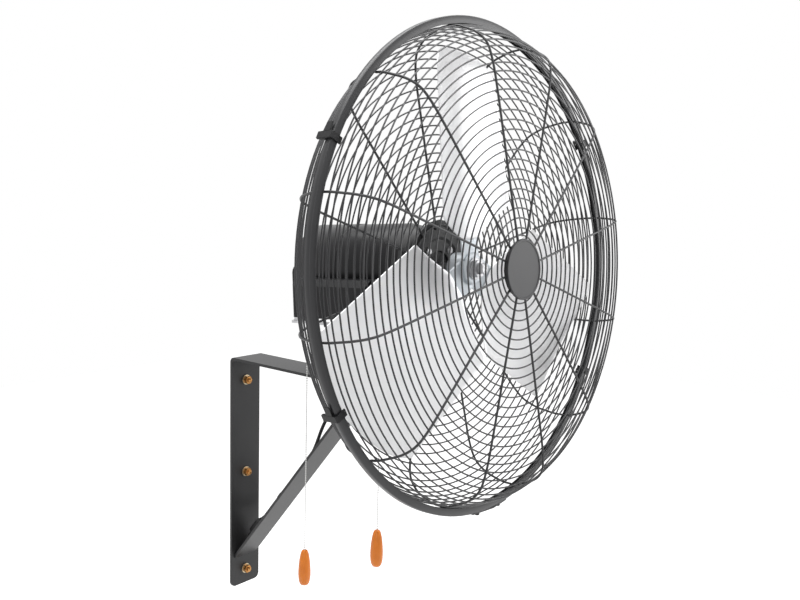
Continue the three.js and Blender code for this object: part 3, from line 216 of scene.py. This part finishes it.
def tidy_shell(angle=35):
    """Merges doubles, turns the faces outwards and leaves edit mode with smooth shading."""
    bpy.ops.mesh.select_all(action="SELECT")
    bpy.ops.mesh.remove_doubles(threshold=WELD)
    bpy.ops.mesh.normals_make_consistent(inside=False)
    bpy.ops.object.mode_set(mode="OBJECT")
    bpy.ops.object.shade_smooth_by_angle(angle=math.radians(angle))


def put(piece, matrix):
    """Moves a finished piece to its place, with the place in its mesh."""
    piece.matrix_world = matrix @ piece.matrix_world
    bpy.ops.object.select_all(action="DESELECT")
    piece.select_set(True)
    bpy.context.view_layer.objects.active = piece
    bpy.ops.object.transform_apply(location=True, rotation=True, scale=True)
    return piece


def hold(piece, body, slot, material, *stands_for):
    """Gives a finished piece its look and its body, and hides the CAD nodes that it stands for."""
    dress(piece, material)
    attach(piece, body)
    if stands_for:
        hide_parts(*stands_for)
    return piece


def turned(name, profile, segments, closed=True, angle=35):
    """Body of revolution about Z from (radius, height) pairs."""
    points = [(r, 0, z) for r, z in profile]
    piece = start(name, points[0])
    draw_on(points)
    if closed:
        close_loop()
    bpy.ops.mesh.select_all(action="SELECT")
    bpy.ops.mesh.spin(steps=segments, angle=2 * math.pi, center=(0, 0, 0), axis=(0, 0, 1))
    tidy_shell(angle)
    return piece


def smooth_line(points, per_span):
    """Points of a smooth curve through the given ones."""
    path = []
    padded = [points[0] * 2 - points[1], *points, points[-1] * 2 - points[-2]]
    for a, b, c, d in zip(padded, padded[1:], padded[2:], padded[3:]):
        for k in range(per_span):
            t = k / per_span
            path.append(0.5 * ((2 * b) + (c - a) * t + (2 * a - 5 * b + 4 * c - d) * t * t
                               + (3 * b - a - 3 * c + d) * t ** 3))
    return [*path, points[-1]]


def bent_wire(name, points, radius, sides):
    """A round wire through the points, as a mesh."""
    piece = start(name, points[0])
    draw_on(points)
    bpy.ops.object.mode_set(mode="OBJECT")
    bpy.ops.object.convert(target="CURVE")
    piece.data.bevel_depth = radius
    piece.data.bevel_resolution = max((sides - 4) // 2, 0)
    piece.data.use_fill_caps = True
    bpy.ops.object.convert(target="MESH")
    bpy.ops.object.shade_smooth_by_angle(angle=math.radians(50))
    return piece


def merged(name, pieces):
    """Joins pieces into one object."""
    bpy.ops.object.select_all(action="DESELECT")
    for piece in pieces:
        piece.select_set(True)
    bpy.context.view_layer.objects.active = pieces[0]
    bpy.ops.object.join()
    pieces[0].name = name
    return pieces[0]


def softened(node, width, body, slot, material, segments=2, limit=30, slope=None):
    """A copy of a CAD piece with its edges rounded. A slope, point and normal, cuts a corner off."""
    bpy.ops.object.select_all(action="DESELECT")
    piece = nodes[node].copy()
    piece.data = nodes[node].data.copy()
    for key in list(piece.keys()):
        del piece[key]
    piece.parent = None
    bpy.context.scene.collection.objects.link(piece)
    piece.name = node + "_dressed"
    piece.select_set(True)
    bpy.context.view_layer.objects.active = piece
    bpy.ops.object.mode_set(mode="EDIT")
    bpy.ops.mesh.select_all(action="SELECT")
    bpy.ops.mesh.remove_doubles(threshold=WELD)
    bpy.ops.mesh.dissolve_limited(angle_limit=math.radians(1))
    if slope:
        bpy.ops.mesh.select_all(action="SELECT")
        bpy.ops.mesh.bisect(plane_co=slope[0], plane_no=slope[1], use_fill=True, clear_outer=True)
    bpy.ops.object.mode_set(mode="OBJECT")
    bevel = piece.modifiers.new("rounded_edges", "BEVEL")
    bevel.width = width
    bevel.segments = segments
    bevel.limit_method = "ANGLE"
    bevel.angle_limit = math.radians(limit)
    bevel.use_clamp_overlap = True
    bpy.ops.object.modifier_apply(modifier=bevel.name)
    bpy.ops.object.shade_smooth_by_angle(angle=math.radians(32))
    flat = piece.modifiers.new("flat_faces", "WEIGHTED_NORMAL")
    flat.keep_sharp = True
    bpy.ops.object.modifier_apply(modifier=flat.name)
    return hold(piece, body, slot, material, node)


# ------------------------------------------------------------------ mains cord
CORD = 0.003
GAP = 0.0003
ARM_TOP = 0.130
BAR = 0.005
BRACE_RUN = 0.304
BRACE_RISE = 0.370
BRACE_FOOT = 0.375  # the brace's foot below the arm's top
GLAND_LENGTH = 0.030
HANK_PLACE = 0.156  # middle of the hank up along the brace
HANK_SIDE = 0.038  # middle of the hank from the brace's middle
HANK_LEAN = math.radians(20)
TIE_SHEET = 0.0012
BRACE_LENGTH = math.hypot(BRACE_RUN, BRACE_RISE)
BRACE_UP = Vector((0, -BRACE_RUN, BRACE_RISE)) / BRACE_LENGTH
BRACE_OUT = Vector((0, BRACE_RISE, BRACE_RUN)) / BRACE_LENGTH


def on_brace(along, side, off):
    """A place by the brace: up along it, to the side, and off its upper face."""
    return Vector((side, -BAR, ARM_TOP - BRACE_FOOT)) + BRACE_UP * along + BRACE_OUT * (BAR + off)


def hank_points():
    """Two layers of long loops that spiral in, climb along a run and spiral out again."""
    run_length, inner, pitch, turns, waist = 0.096, 0.018, 0.0069, 2, 0.004
    widest = inner + pitch * turns
    rise = CORD + TIE_SHEET + 2 * GAP + widest * math.sin(HANK_LEAN)

    def place(along, side, level):
        return on_brace(HANK_PLACE + along,
                        HANK_SIDE + side * math.cos(HANK_LEAN) - level * math.sin(HANK_LEAN),
                        rise + side * math.sin(HANK_LEAN) + level * math.cos(HANK_LEAN))

    run_steps, fold_steps = 4, 8
    loop = 2 * (run_steps + fold_steps)
    points = []
    for step in range(loop * 2 * turns + run_steps + 1):
        fold = inner + pitch * abs(turns - step / loop)
        level = pitch * min(max((step - loop * turns) / run_steps, 0), 1)
        half, part = divmod(step % loop, run_steps + fold_steps)
        way = 1 if half == 0 else -1
        if part <= run_steps:
            run = part / run_steps
            pull = waist * math.sin(math.pi * run) ** 2
            points.append(place(way * run_length * (0.5 - run), -way * (fold - pull), level))
        else:
            angle = (part - run_steps) / fold_steps * math.pi
            points.append(place(way * (-run_length / 2 - math.sin(angle) * fold),
                                -way * math.cos(angle) * fold, level))
    lead = place(run_length / 2 + 4 * CORD, -widest, 0)
    trail = place(-run_length / 2 - 4 * CORD, -inner - pitch * (turns + run_steps / loop), pitch)
    return [lead, *points, trail]


def mains_cord():
    """The cord from its gland down behind the brace and through the hank."""
    side = 0.008
    gland_end = Vector((side, -0.226, ARM_TOP - BAR - GAP - GLAND_LENGTH))
    hank = hank_points()
    drop = [gland_end, gland_end + Vector((0, 0.001, -0.012)), Vector((side, -0.216, 0.072)),
            Vector((side, -0.204, 0.054)), Vector((side, -0.189, 0.026)),
            Vector((side, -0.174, -0.008)), hank[0] + BRACE_UP * 0.014]
    path = smooth_line([*drop, *hank], 4)
    length = sum((b - a).length for a, b in zip(path, path[1:]))
    cord = bent_wire("mains_cord", path, CORD, 10)
    hold(cord, "bracket", "cord_jacket", jacket, "power_cord", "cord_hank")
    return cord, path, length


cord, cord_path, cord_length = mains_cord()
plug = softened("power_plug", 0.0008, "bracket", "black_plastic", moulded)
tie = softened("hank_tie", 0.0003, "bracket", "black_plastic", moulded)


# ------------------------------------------------------------------ wire guard
SPOKES = 12
SPOKE_TURN = math.radians(11.45)
WIRE = 0.00112  # radii of the wires, in metres
SPOKE = 0.00165
EDGE_WIRE = 0.0016
SINK = 0.55  # rings lie behind the spokes' middle by this share of a spoke's radius

# radii and depths of the nets, in millimetres from the rim's plane
FRONT_FACE = (256, 243, 230, 216, 203, 190, 176, 163, 150, 136.5, 123, 110, 97, 84, 70.5, 57, 47)
FRONT_SHOULDER = ((333, 14), (330, 21), (326, 31), (322, 40), (316, 48), (309, 55), (300, 60),
                  (289, 61.5), (278, 63), (267, 63.5))
REAR_FACE = (271, 258, 245, 232, 219, 206, 193, 180, 167, 154, 141, 128, 115, 102, 89, 76, 63)
REAR_SHOULDER = ((334, 13), (332, 20), (329.5, 27), (326, 35), (322, 43.5), (315.5, 50.5),
                 (308, 57), (298, 61.8), (286, 65.2))
REAR_CURVE = ((340, -0.25), (335.2, -0.1), (334.4, 4), (334, 11), (332, 20), (328, 31), (321.5, 45),
              (304, 61), (273, 67.5), (231, 68.5), (168, 69.5), (110, 70.5), (58, 71.3))
FRONT_CURVE = ((340, 3.75), (334.6, 3.9), (333, 14), (328, 27), (322, 40), (314, 50.5), (303, 58),
               (288, 61.6), (262, 63.8), (200, 64.8), (120, 65.4), (36, 66))


def curve_depth(curve, radius):
    """Depth of a spoke's curve at a radius."""
    for (r0, d0), (r1, d1) in zip(curve, curve[1:]):
        if r1 <= radius <= r0:
            return d0 + (d1 - d0) * (r0 - radius) / (r0 - r1)
    return curve[-1][1]


def wire_net(name, curve, rings, facing):
    """One guard half: hoops welded to twelve bent spokes."""
    points = [Vector((r, 0, d * facing)) / 1000 for r, d in curve]
    spoke = bent_wire(name + "_spokes", smooth_line(points, 4), SPOKE, 8)
    spoke.rotation_euler.z = SPOKE_TURN
    bpy.ops.object.transform_apply(rotation=True)
    bpy.ops.object.mode_set(mode="EDIT")
    bpy.ops.mesh.select_all(action="SELECT")
    bpy.ops.mesh.spin(steps=SPOKES - 1, dupli=True, angle=2 * math.pi * (SPOKES - 1) / SPOKES,
                      center=(0, 0, 0), axis=(0, 0, 1))
    for radius, depth, thick in rings:
        bpy.ops.mesh.primitive_torus_add(location=(0, 0, depth * facing / 1000),
                                         major_radius=radius / 1000, minor_radius=thick,
                                         major_segments=128, minor_segments=6)
    bpy.ops.mesh.select_all(action="SELECT")
    bpy.ops.mesh.normals_make_consistent(inside=False)
    bpy.ops.object.mode_set(mode="OBJECT")
    bpy.ops.object.shade_smooth_by_angle(angle=math.radians(60))
    spoke.name = name
    return put(spoke, HEAD)


def net_rings(curve, shoulder, face):
    """Radius, depth and thickness of every ring of one guard half, its edge wire last."""
    lift = SPOKE * 1000 * SINK
    steps = [*shoulder, *((radius, curve_depth(curve, radius)) for radius in face)]
    return [*((radius, depth - lift, WIRE) for radius, depth in steps), (*curve[0], EDGE_WIRE)]


def both_nets():
    front = net_rings(FRONT_CURVE, FRONT_SHOULDER, FRONT_FACE)
    hold(wire_net("front_net", FRONT_CURVE, front, 1), "head", "guard_wire", wire_coat, "front_guard")
    rear = net_rings(REAR_CURVE, REAR_SHOULDER, REAR_FACE)
    hold(wire_net("rear_net", REAR_CURVE, rear, -1), "head", "guard_wire", wire_coat, "rear_guard")


both_nets()


# ------------------------------------------------------------------ rim band, clips and badge
RIM_LEAD = 0.002  # the band's middle ahead of the rim's plane
NET_FRONT = 0.066
CLAMP_SHEET = 0.0012


def rim_hoop():
    """Channel that holds the edge wires of both guard halves."""
    outer, inner, side, wall = 0.347, 0.3365, 0.00485, 0.0012
    lip = 0.0010
    profile = [(inner, -side), (outer - lip, -side), (outer, -side + lip), (outer, side - lip),
               (outer - lip, side), (inner, side), (inner, side - wall), (outer - wall, side - wall),
               (outer - wall, -side + wall), (inner, -side + wall)]
    hoop = turned("rim_hoop", profile, 160, angle=50)
    hold(put(hoop, HEAD @ Matrix.Translation((0, 0, RIM_LEAD))), "head", "bracket_paint", band_coat,
         "rim_band")


rim_hoop()
softened("band_joint_plate", 0.0006, "head", "bracket_paint", band_coat)
for number in (1, 2):
    softened(f"band_screw_{number}", 0.0003, "head", "dark_screw", dark_screw)
for number in (1, 2, 3, 4):
    softened(f"guard_clip_{number}", 0.0004, "head", "black_plastic", moulded)


def badge():
    """Bare round dish with a raised border."""
    seat = NET_FRONT + CLAMP_SHEET + GAP
    face = seat + 0.0032
    profile = [(0, seat), (0.0415, seat), (0.042, seat + 0.0006), (0.042, face + 0.0002),
               (0.0412, face + 0.001), (0.0392, face + 0.001), (0.0384, face), (0.030, face - 0.0002),
               (0, face)]
    dish = turned("front_badge", profile, 72, closed=False, angle=40)
    hold(put(dish, HEAD), "head", "bracket_paint", badge_coat, "hub_badge")


badge()
dress(nodes["badge_clamp_plate"], moulded)


# ------------------------------------------------------------------ blades and spider
BLADE_ANGLES = (-148.2, -28.2, 91.8)
ROTOR_DEPTH = -0.026
TIP = 0.309
HALF = 0.101
NECK_REACH, NECK_HALF = 0.042, 0.020
HEEL, TOE = 0.088, 0.076
LEADING, TRAIL_ROOT, TRAIL_TIP = 0.039, 0.010, -0.015
HOLLOW = 0.020
CORNER = 0.015
SHEET = 0.0016
SPIDER_SHEET, SPIDER_START, SPIDER_REACH, SPIDER_HALF = 0.003, 0.014, 0.088, 0.023
HUB_FRONT = -0.012
HUB_LENGTH = 0.034


def blade_level(reach, side):
    """Height of the hollow, twisted face over the rotor's middle plane."""
    out = (reach - HEEL) / (TIP - HEEL)
    trail = TRAIL_ROOT + (TRAIL_TIP - TRAIL_ROOT) * out
    return (trail + (LEADING - trail) * (side / HALF + 1) / 2
            - HOLLOW * (1 - (side / HALF) ** 2))


def blade_place(share, across):
    """A place on the paddle: parallel long edges, a tip arc, root edges that run in to the neck."""
    side = math.copysign(abs(across) ** 0.8, across) * HALF
    end = math.sqrt(TIP ** 2 - side ** 2) - CORNER * across ** 6
    past = max((abs(side) - NECK_HALF) / (HALF - NECK_HALF), 0)
    start_reach = NECK_REACH + ((HEEL if side < 0 else TOE) - NECK_REACH) * past
    return start_reach + (end - start_reach) * share, side


def arm_place(share, across):
    """A place on a straight arm of the spider."""
    return SPIDER_START + (SPIDER_REACH - SPIDER_START) * share, across * SPIDER_HALF


def pressed_sheet(name, place, rows, columns, level, thickness):
    """A thin sheet that follows the blade's twisted face."""
    bpy.ops.mesh.primitive_grid_add(x_subdivisions=rows, y_subdivisions=columns, size=2)
    piece = bpy.context.object
    piece.name = name
    for vertex in piece.data.vertices:
        reach, side = place((vertex.co.x + 1) / 2, vertex.co.y)
        vertex.co = (reach, side, blade_level(reach, side) + level)
    wall = piece.modifiers.new("sheet", "SOLIDIFY")
    wall.thickness = thickness
    wall.offset = 0
    bpy.ops.object.modifier_apply(modifier=wall.name)
    edge = piece.modifiers.new("edge", "BEVEL")
    edge.width = thickness * 0.3
    edge.segments = 2
    edge.limit_method = "ANGLE"
    edge.angle_limit = math.radians(60)
    bpy.ops.object.modifier_apply(modifier=edge.name)
    bpy.ops.object.shade_smooth_by_angle(angle=math.radians(35))
    return piece


def rotor():
    """Three blades, each on an arm of the spider that is pressed round the hub boss."""
    spin = Matrix.Translation((0, 0, ROTOR_DEPTH))
    drop = -(SHEET / 2 + GAP + SPIDER_SHEET / 2)
    arms = []
    for number, angle in enumerate(BLADE_ANGLES, 1):
        turn = HEAD @ spin @ Matrix.Rotation(math.radians(angle), 4, "Z")
        blade = pressed_sheet(f"blade_sheet_{number}", blade_place, 40, 40, 0, SHEET)
        hold(put(blade, turn), "rotor", "blade_metal", sheet, f"blade_{number}")
        arm = pressed_sheet(f"spider_arm_{number}", arm_place, 12, 10, drop, SPIDER_SHEET)
        arms.append(put(arm, turn))
    front, back = HUB_FRONT, HUB_FRONT - HUB_LENGTH
    boss = turned("hub_boss", [(0.0083, back), (0.0215, back), (0.023, back + 0.0015),
                               (0.023, front - 0.002), (0.021, front), (0.0083, front)], 48)
    arms.append(put(boss, HEAD))
    hold(merged("rotor_spider", arms), "rotor", "blade_metal", spider_sheet, "rotor_hub")


rotor()
softened("hub_nut", 0.0005, "rotor", "steel", steel)


# ------------------------------------------------------------------ motor, gearbox and switch box
def motor_shells():
    """Front cover with its tapered nose and rear cover, which meet at a lip."""
    split, rear, nose = -RIM_REACH + 0.025, -RIM_REACH - 0.0745, -RIM_REACH + 0.176
    shoulder = -RIM_REACH + 0.129
    r, bore = 0.0675, 0.009
    front = [(r - 0.003, split), (r - 0.0006, split), (r, split + 0.0006), (r, split + 0.005),
             (r - 0.0008, split + 0.0058), (r - 0.0008, shoulder - 0.002), (r - 0.0014, shoulder),
             (0.062, shoulder + 0.019), (0.055, shoulder + 0.034), (0.046, nose - 0.001),
             (0.045, nose), (bore, nose)]
    shell = turned("motor_front_cover", front, 96, closed=False, angle=40)
    hold(put(shell, HEAD), "head", "motor_paint", motor_coat, "motor_front_shell")
    back = [(r - 0.003, split), (r, split), (r, split - 0.004), (r, rear + 0.018),
            (0.066, rear + 0.015), (0.058, rear + 0.006), (0.047, rear + 0.0005), (0.046, rear),
            (bore, rear)]
    shell = turned("motor_rear_cover", back, 96, closed=False, angle=40)
    hold(put(shell, HEAD), "head", "motor_paint", motor_coat, "motor_rear_shell")


motor_shells()
softened("gearbox_housing", 0.0012, "head", "black_plastic", moulded)
SLOPE_HEIGHT, SLOPE_SIDE = 0.112, 0.098  # a place on the box's sloped corner, from the pivot
box_corner = PIVOT + UP * SLOPE_HEIGHT + Vector((-SLOPE_SIDE, 0, 0))
softened("switch_box", 0.0022, "head", "black_plastic", motor_coat, 3,
         slope=(box_corner, (UP + Vector((-1, 0, 0))).normalized()))
softened("motor_cradle", 0.002, "head", "motor_paint", motor_coat)
softened("guard_mount_plate", 0.0005, "head", "bracket_paint", coat)
for name in ("front_bearing", "rear_bearing"):
    dress(nodes[name], steel)
dress(nodes["stator"], winding)
dress(nodes["motor_shaft"], steel)
for number in (1, 2, 3, 4):
    dress(nodes[f"guard_screw_{number}"], steel)
for name in ("speed_switch_nipple", "oscillation_switch_nipple"):
    softened(name, 0.0003, "head", "steel", nipple_black)

# ------------------------------------------------------------------ neck, tilt joint and swing drive
softened("neck_post", 0.0010, "bracket", "cast_body", casting)
softened("tilt_knuckle", 0.0010, "knuckle", "cast_body", casting)
softened("tilt_bolt", 0.0006, "bracket", "steel", steel)
softened("tilt_knob", 0.0010, "bracket", "black_plastic", moulded, 2, 50)
softened("neck_bolt", 0.0006, "bracket", "steel", steel)
softened("crank", 0.0005, "crank", "steel", steel)
softened("oscillation_link", 0.0004, "link", "steel", steel)
softened("link_pin", 0.0004, "knuckle", "steel", steel)

# ------------------------------------------------------------------ wall bracket
softened("wall_bracket", 0.0008, "bracket", "bracket_paint", coat)
softened("diagonal_brace", 0.0008, "bracket", "bracket_paint", coat)
for number in (1, 2, 3):
    softened(f"wall_washer_{number}", 0.0003, "bracket", "fixing_zinc", zinc)
    softened(f"wall_screw_{number}", 0.0004, "bracket", "fixing_zinc", nut_zinc)
softened("cord_gland", 0.0005, "bracket", "black_plastic", moulded)


# ------------------------------------------------------------------ pull chains
BEAD, BEAD_PITCH, CHAIN_WIRE = 0.00125, 0.0038, 0.0004
GRIP = 0.010  # the handle's largest radius


def bead_chain(name, node):
    """Beads on a thin wire, from the nipple down into the handle."""
    low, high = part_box(node)
    middle = (low + high) / 2
    bpy.ops.mesh.primitive_cylinder_add(vertices=6, radius=CHAIN_WIRE, depth=high.z - low.z,
                                        location=(middle.x, middle.y, middle.z))
    chain = bpy.context.object
    chain.name = name
    bpy.ops.object.transform_apply(location=True)
    bpy.ops.object.mode_set(mode="EDIT")
    bpy.ops.mesh.select_all(action="DESELECT")
    count = int((high.z - low.z) / BEAD_PITCH)
    for number in range(count):
        place = (middle.x, middle.y, high.z - BEAD - number * BEAD_PITCH)
        bpy.ops.mesh.primitive_uv_sphere_add(segments=8, ring_count=6, radius=BEAD, location=place)
    bpy.ops.mesh.select_all(action="SELECT")
    bpy.ops.mesh.normals_make_consistent(inside=False)
    bpy.ops.object.mode_set(mode="OBJECT")
    bpy.ops.object.shade_smooth_by_angle(angle=math.radians(60))
    return chain


def handle(name, node):
    """Tapered pull handle, round at both ends, with a hole for the chain."""
    low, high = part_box(node)
    middle = (low + high) / 2
    top, bottom = high.z, low.z
    size = top - bottom
    bore = 0.0013
    profile = [(0, bottom), (GRIP * 0.42, bottom + 0.0002), (GRIP * 0.64, bottom + 0.0012)]
    for share, swell in ((0.06, 0.78), (0.12, 0.89), (0.20, 0.96), (0.30, 1.0), (0.42, 0.99),
                         (0.55, 0.94), (0.68, 0.87), (0.80, 0.77), (0.90, 0.65), (0.96, 0.53)):
        profile.append((GRIP * swell, bottom + size * share))
    profile += [(GRIP * 0.40, top - 0.0006), (GRIP * 0.30, top), (bore, top), (bore, top - 0.005),
                (0, top - 0.005)]
    body = turned(name, profile, 40, closed=False, angle=40)
    return put(body, Matrix.Translation((middle.x, middle.y, 0)))


for kind in ("speed", "oscillation"):
    hold(bead_chain(kind + "_beads", kind + "_chain"), kind + "_pull", "steel", chain_metal,
         kind + "_chain")
    hold(handle(kind + "_grip", kind + "_handle"), kind + "_pull", "orange_plastic", orange,
         kind + "_handle")


# ------------------------------------------------------------------ stage and light
ROOM_LIGHT = 0.40
FLOOR_GLOW = 0.75
FLOOR_LEVEL = -1.35


def white_for_the_eye(tree, light, seen):
    """Mix of what lights the object and what the camera, gloss and glass see behind it."""
    path = tree.nodes.new("ShaderNodeLightPath")
    add = tree.nodes.new("ShaderNodeMath")
    add.operation = "ADD"
    more = tree.nodes.new("ShaderNodeMath")
    more.operation = "ADD"
    tree.links.new(path.outputs["Is Camera Ray"], more.inputs[0])
    tree.links.new(path.outputs["Is Glossy Ray"], more.inputs[1])
    tree.links.new(more.outputs[0], add.inputs[0])
    tree.links.new(path.outputs["Is Transmission Ray"], add.inputs[1])
    either = tree.nodes.new("ShaderNodeMath")
    either.operation = "MINIMUM"
    either.inputs[1].default_value = 1
    tree.links.new(add.outputs[0], either.inputs[0])
    mix = tree.nodes.new("ShaderNodeMixShader")
    tree.links.new(either.outputs[0], mix.inputs["Fac"])
    tree.links.new(light, mix.inputs[1])
    tree.links.new(seen, mix.inputs[2])
    return mix.outputs[0]


def stage():
    """A white room and a pale floor under the fan."""
    world = bpy.data.worlds.new("studio")
    bpy.context.scene.world = world
    world.use_nodes = True
    tree = world.node_tree
    soft = tree.nodes["Background"]
    soft.inputs["Color"].default_value = (1, 1, 1, 1)
    soft.inputs["Strength"].default_value = ROOM_LIGHT
    seen = tree.nodes.new("ShaderNodeBackground")
    seen.inputs["Color"].default_value = (1, 1, 1, 1)
    seen.inputs["Strength"].default_value = 1.0
    out = tree.nodes["World Output"]
    tree.links.new(white_for_the_eye(tree, soft.outputs[0], seen.outputs[0]), out.inputs["Surface"])

    bpy.ops.mesh.primitive_plane_add(size=14, location=(0, -1, FLOOR_LEVEL))
    floor = bpy.context.object
    floor.name = "studio_floor"
    material, tree, bsdf = shader_tree("pale_floor")
    bsdf.inputs["Base Color"].default_value = (0.85, 0.85, 0.85, 1)
    bsdf.inputs["Roughness"].default_value = 0.9
    glow = tree.nodes.new("ShaderNodeEmission")
    glow.inputs["Strength"].default_value = FLOOR_GLOW
    both = tree.nodes.new("ShaderNodeAddShader")
    tree.links.new(bsdf.outputs[0], both.inputs[0])
    tree.links.new(glow.outputs[0], both.inputs[1])
    out = tree.nodes["Material Output"]
    tree.links.new(white_for_the_eye(tree, bsdf.outputs[0], both.outputs[0]), out.inputs["Surface"])
    dress(floor, material)


def lamp(name, place, target, size, power):
    """A soft area light that points at the target."""
    bpy.ops.object.light_add(type="AREA", location=place)
    light = bpy.context.object
    light.name = name
    light.data.shape = "RECTANGLE"
    light.data.size, light.data.size_y = size
    light.data.energy = power
    light.rotation_euler = (Vector(target) - Vector(place)).to_track_quat("-Z", "Y").to_euler()


bpy.context.scene.view_settings.view_transform = "Standard"
stage()
lamp("overhead_softbox", (0.1, -0.2, 2.6), (0, -0.3, 0.1), (2.8, 3.0), 100)
lamp("right_softbox", (2.4, -2.2, 1.2), (0, -0.4, 0.2), (1.6, 2.2), 42)
lamp("left_fill", (-2.6, -1.8, 0.8), (0, -0.4, 0.1), (1.4, 2.0), 10)
